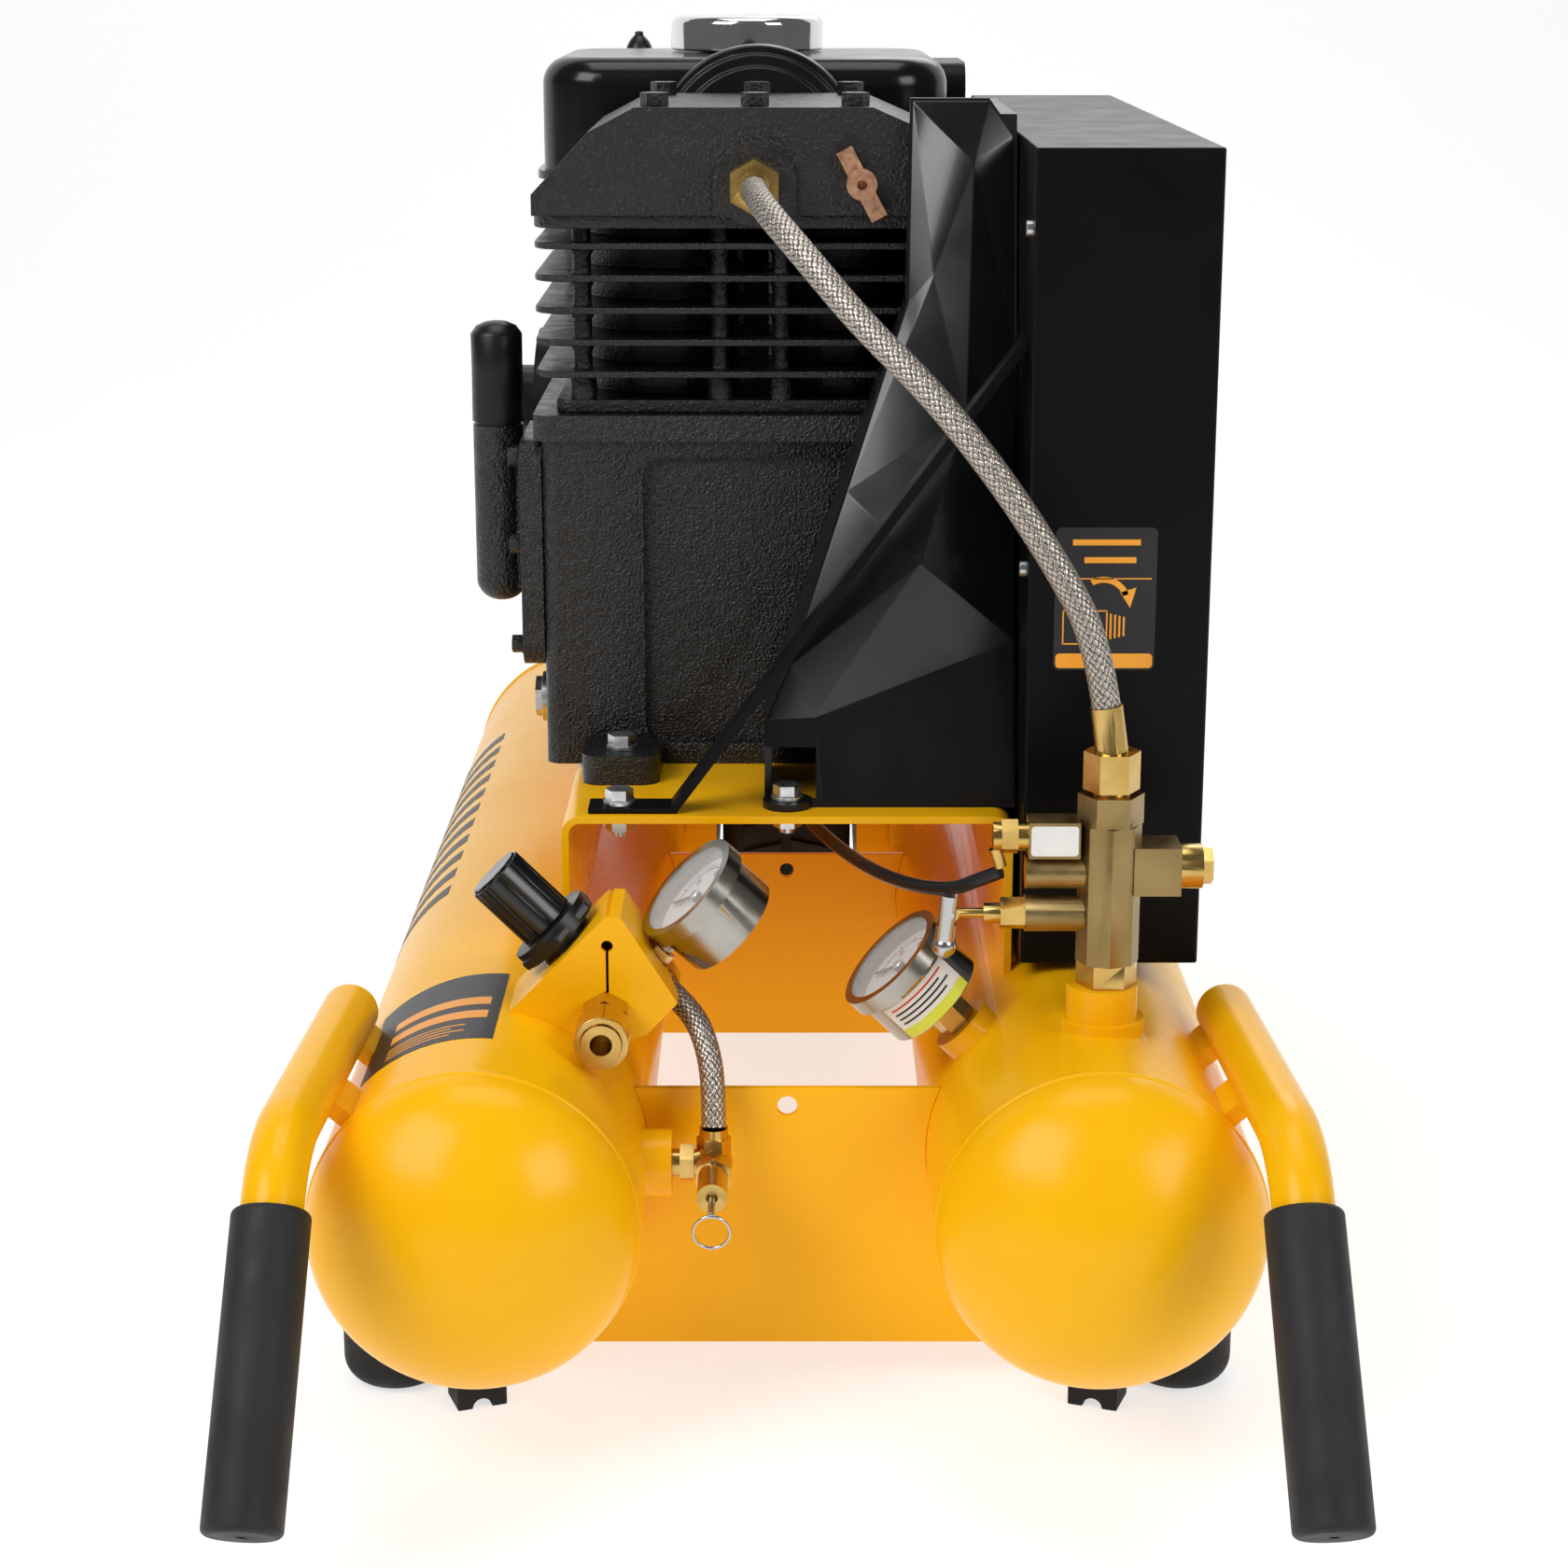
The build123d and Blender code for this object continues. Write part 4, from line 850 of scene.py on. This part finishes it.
def make_regulator_trim():
    """Fluted knob, and the notched flange of the ring nut under it."""
    place = axis_frame(KNOB_START, KNOB_END - KNOB_START, (0, -1, 0))
    length = (KNOB_END - KNOB_START).length
    bm = bmesh.new()
    prism(bm, grooved_outline(0.0155, 10, 0.0011, 0.3), 0, length - 0.0012)
    prism(bm, grooved_outline(0.0142, 10, 0.0009, 0.3), length - 0.0013, length)
    bm.transform(place)
    knob = add_piece("knob_fluted", finish_bmesh("knob_fluted", bm, 30), "gloss", "regulator_dial")
    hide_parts("regulator_knob")
    bevel = knob.modifiers.new("edge_round", "BEVEL")
    bevel.width, bevel.segments, bevel.limit_method = 0.0009, 3, "ANGLE"
    bevel.angle_limit = math.radians(50)
    bm = bmesh.new()
    ring = axis_frame(KNOB_START - (KNOB_END - KNOB_START).normalized() * 0.0092, KNOB_END - KNOB_START,
                      (0, -1, 0))
    flange = [(0.0262 * math.cos(math.radians(60 * step + 8)), 0.0262 * math.sin(math.radians(60 * step + 8)))
              for step in range(6)]
    prism(bm, flange, 0.0004, 0.0056)
    prism(bm, grooved_outline(0.0205, 12, 0.0012, 0.4), 0.0050, 0.0086)
    bm.transform(ring)
    nut = add_piece("ring_nut_flange", finish_bmesh("ring_nut_flange", bm, 30), "plastic")
    bevel = nut.modifiers.new("edge_round", "BEVEL")
    bevel.width, bevel.segments, bevel.limit_method = 0.0012, 3, "ANGLE"
    bevel.angle_limit = math.radians(40)


def make_acorn_knob():
    """Round-topped nut of the air cleaner."""
    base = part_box("air_cleaner_knob")[0][2]
    profile = [(0, 0), (0.0098, 0), (0.0100, 0.0024), (0.0086, 0.0034), (0.0090, 0.0052), (0.0084, 0.0086),
               (0.0066, 0.0120), (0.0044, 0.0146), (0.0030, 0.0158), (0.0026, 0.0182), (0, 0.0186)]
    place = Matrix.Translation((-0.100, 0.389, base))
    knob = add_piece("acorn_knob", lathe("acorn_knob", profile, place, 48, 50), "plastic", "cleaner_knob")
    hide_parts("air_cleaner_knob")


def make_tyre():
    """Tyre carcass under the tread blocks, with raised rings on its side walls."""
    bead = 0.0665
    side = [(bead, 0.0360), (0.0720, 0.0400), (0.0790, 0.0432), (0.0800, 0.0440), (0.0815, 0.0440),
            (0.0825, 0.0436),
            (0.0940, 0.0448), (0.1030, 0.0446), (0.1040, 0.0450), (0.1055, 0.0450), (0.1065, 0.0440),
            (0.1150, 0.0412), (0.1200, 0.0370), (0.1228, 0.0320)]
    half = side + [(0.1238, 0.0200), (0.1241, 0.0)]
    profile = [(r, -x) for r, x in half] + [(r, x) for r, x in reversed(half[:-1])] + [(bead, -0.0360)]
    place = axis_frame((0, WHEEL_Y, WHEEL_R), (1, 0, 0), (0, 1, 0))
    tyre = add_piece("tyre_carcass", lathe("tyre_carcass", profile, place, 144, 30), "rubber", "wheel")
    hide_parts("wheel_tyre")


def make_breather_cap():
    """Moulded cap with a low dome and a seal ring above the neck."""
    top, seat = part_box("oil_breather_cap")[1][2], 0.4692
    profile = [(0, seat), (0.0128, seat), (0.0128, seat + 0.0012), (0.01425, seat + 0.0016),
               (0.01425, seat + 0.003),
               (0.0140, seat + 0.030), (0.01415, top - 0.0075), (0.0136, top - 0.0065), (0.0110, top - 0.0030),
               (0.0060, top - 0.0008), (0, top)]
    place = Matrix.Translation((-0.160, -0.061, 0))
    cap = add_piece("breather_cap_moulded", lathe("breather_cap_moulded", profile, place, 64, 30),
                    "plastic", "breather_cap")
    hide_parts("oil_breather_cap")


def hex_screw(name, centre, axis, across, height, material):
    """Hex head on a thin washer."""
    bm = bmesh.new()
    radius = across / math.sqrt(3)
    head = [(radius * math.cos(math.radians(60 * step)), radius * math.sin(math.radians(60 * step)))
            for step in range(6)]
    rim = 0.62 * across
    washer = [(rim * math.cos(math.radians(15 * step)), rim * math.sin(math.radians(15 * step)))
              for step in range(24)]
    prism(bm, washer, 0, 0.0010)
    prism(bm, head, 0.0009, height)
    bm.transform(axis_frame(centre, axis, (0, 0, 1)))
    screw = add_piece(name, finish_bmesh(name, bm, 30), material)
    bevel = screw.modifiers.new("edge_round", "BEVEL")
    bevel.width, bevel.segments, bevel.limit_method = 0.0006, 2, "ANGLE"


def make_cover_screws():
    """Screws of the crank end cover."""
    places = ((-0.097, 0.456), (-0.097, 0.408), (-0.097, 0.352), (-0.019, 0.352), (-0.019, 0.456))
    for number, (y, z) in enumerate(places):
        hex_screw(f"cover_screw_{number}", (-0.1454, y, z), (-1, 0, 0), 0.009, 0.0065, "casting")


def make_guard_louvers():
    """Pressed louvers on the outer side of the belt guard."""
    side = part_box("belt_guard")[1][0]
    for row in range(9):
        z = 0.300 + 0.030 * row
        reach = 0.085 if row in (0, 8) else 0.120
        bm = bmesh.new()
        rows = []
        stations = ((-reach, 0.0), (-reach + 0.008, 1.0), (reach - 0.008, 1.0), (reach, 0.0))
        for step in range(9):
            angle = math.pi * step / 8
            height, across = 0.0028 * math.sin(angle), -0.005 * math.cos(angle)
            rows.append([bm.verts.new((side - 0.0002 + height * taper, -0.036 + along, z + across))
                         for along, taper in stations])
        for near, far in zip(rows, rows[1:]):
            for step in range(3):
                bm.faces.new((near[step], near[step + 1], far[step + 1], far[step]))
        bmesh.ops.remove_doubles(bm, verts=bm.verts, dist=1e-7)
        name = f"guard_louver_{row}"
        add_piece(name, finish_bmesh(name, bm, 50), "sheet")


def make_seams():
    """Low weld seam where each dished head meets its shell."""
    for side in (-1, 1):
        for end, y in (("near", HEAD_NEAR_Y), ("far", HEAD_FAR_Y)):
            profile = []
            for step in range(9):
                angle = math.pi * step / 8
                ripple = 0.0010 * math.sin(angle)
                profile.append((TANK_R + 0.00005 + ripple, -0.0026 * math.cos(angle)))
            profile += [(TANK_R - 0.001, 0.0026), (TANK_R - 0.001, -0.0026), profile[0]]
            place = axis_frame((side * TANK_X, y, TANK_Z), (0, 1, 0), (1, 0, 0))
            name = f"seam_{end}_{'left' if side < 0 else 'right'}"
            add_piece(name, lathe(name, profile, place, 128, 60), "yellow")


def make_head_skins():
    """Smooth paint over the dished heads: knuckle and crown arcs of the pressing."""
    crown, knuckle, paint = 0.095, 0.034, 0.00015
    rim = TANK_R - knuckle
    drop = math.sqrt((crown - knuckle) ** 2 - rim ** 2)
    meet = math.atan2(drop, rim)
    profile = [(TANK_R - 0.001, 0.0), (TANK_R + paint, 0.0)]
    for step in range(1, 13):
        angle = meet * step / 12
        profile.append((rim + (knuckle + paint) * math.cos(angle), (knuckle + paint) * math.sin(angle)))
    spread = math.pi / 2 - meet
    for step in range(1, 25):
        angle = spread * (1 - step / 24)
        profile.append(((crown + paint) * math.sin(angle), (crown + paint) * math.cos(angle) - drop))
    for side in (-1, 1):
        for end, y, out in (("near", HEAD_NEAR_Y, -1), ("far", HEAD_FAR_Y, 1)):
            place = axis_frame((side * TANK_X, y, TANK_Z), (0, out, 0), (1, 0, 0))
            name = f"head_skin_{end}_{'left' if side < 0 else 'right'}"
            add_piece(name, lathe(name, profile, place, 128, 60), "yellow")


def weld_bead(name, start, stop, radius, material="yellow"):
    """Rippled bead along a straight joint."""
    start, stop = Vector(start), Vector(stop)
    points = spaced([start, stop], 0.0006)

    def surface(distance, turn):
        end_taper = min(1.0, 0.35 + min(distance, (stop - start).length - distance) / 0.003)
        return radius * end_taper * (0.86 + 0.14 * abs(math.sin(math.pi * distance / 0.0028)))

    add_piece(name, tube_mesh(name, points, surface, 16), material)


def make_weld_beads():
    """Beads of the deck and the regulator bracket on the tanks."""
    weld_bead("bracket_bead_left", (-0.1385, -0.2995, 0.2070), (-0.1385, -0.2560, 0.2070), 0.0022)
    for side, word in ((-1, "left"), (1, "right")):
        weld_bead(f"deck_bead_{word}", (side * 0.1195, -0.210, 0.2045), (side * 0.1195, -0.140, 0.2045), 0.0024)


def wrap_patch(name, place, radius, turn0, turn1, low, high, material):
    """Thin sticker wrapped round a cylinder."""
    bm = bmesh.new()
    steps = 20
    rows = []
    for step in range(steps + 1):
        angle = math.radians(turn0 + (turn1 - turn0) * step / steps)
        rows.append([bm.verts.new((reach * math.cos(angle), reach * math.sin(angle), height))
                     for reach, height in ((radius - 0.0001, low), (radius - 0.0001, high),
                                           (radius + 0.0001, high), (radius + 0.0001, low))])
    for near, far in zip(rows, rows[1:]):
        for step in range(4):
            after = (step + 1) % 4
            bm.faces.new((near[step], near[after], far[after], far[step]))
    bm.faces.new(rows[0][::-1])
    bm.faces.new(rows[-1])
    bm.transform(place)
    add_piece(name, finish_bmesh(name, bm, 40), material)


def make_stickers():
    """Blank sticker on the valve block, and a striped one without words on the tank gauge."""
    place = axis_frame((0.1295, -0.330, 0.3060), (0, -1, 0), (1, 0, 0))
    outline = rounded(-0.0115, 0.0115, -0.0075, 0.0075, 0.0018)
    flat_label("valve_sticker", place, [("paper", 0, 0.0002, [outline])])
    gauge = gauge_frame("tank")
    wrap_patch("gauge_sticker", gauge, 0.0281, -40, 50, -0.0265, -0.0115, "paper")
    wrap_patch("gauge_sticker_stripe", gauge, 0.0281, -40, 50, -0.0325, -0.0266, "lime")
    for number in range(4):
        height = -0.0145 - 0.0030 * number
        wrap_patch(f"gauge_sticker_line_{number}", gauge, 0.0283, -32, 40 - 9 * (number % 2), height - 0.0004,
                   height + 0.0006, "red" if number == 0 else "ink")


def repaint(piece, material, chosen):
    """Gives the faces whose middle passes the test a second material."""
    mesh = piece.data
    mesh.materials.append(MATERIALS[material])
    for face in mesh.polygons:
        if chosen(face.center):
            face.material_index = 1


make_camera()
make_stage()
MATERIALS.update(make_materials())
paint_nodes()
make_hoses()
make_gauges()
make_labels()
make_tread()
make_shroud_facets()
make_studs()
make_regulator_trim()
make_acorn_knob()
make_tyre()
make_breather_cap()
make_cover_screws()
make_guard_louvers()
make_seams()
make_head_skins()
make_weld_beads()
make_stickers()
refined = {node: refine(node, width) for node, width in REFINED.items()}
repaint(refined["bolts"], "casting", lambda middle: middle.z > 0.64)
repaint(refined["unloader_valve"], "brass",
        lambda middle: middle.z > 0.3275 or middle.x > 0.1895 or middle.x < 0.117 or middle.z < 0.2432)
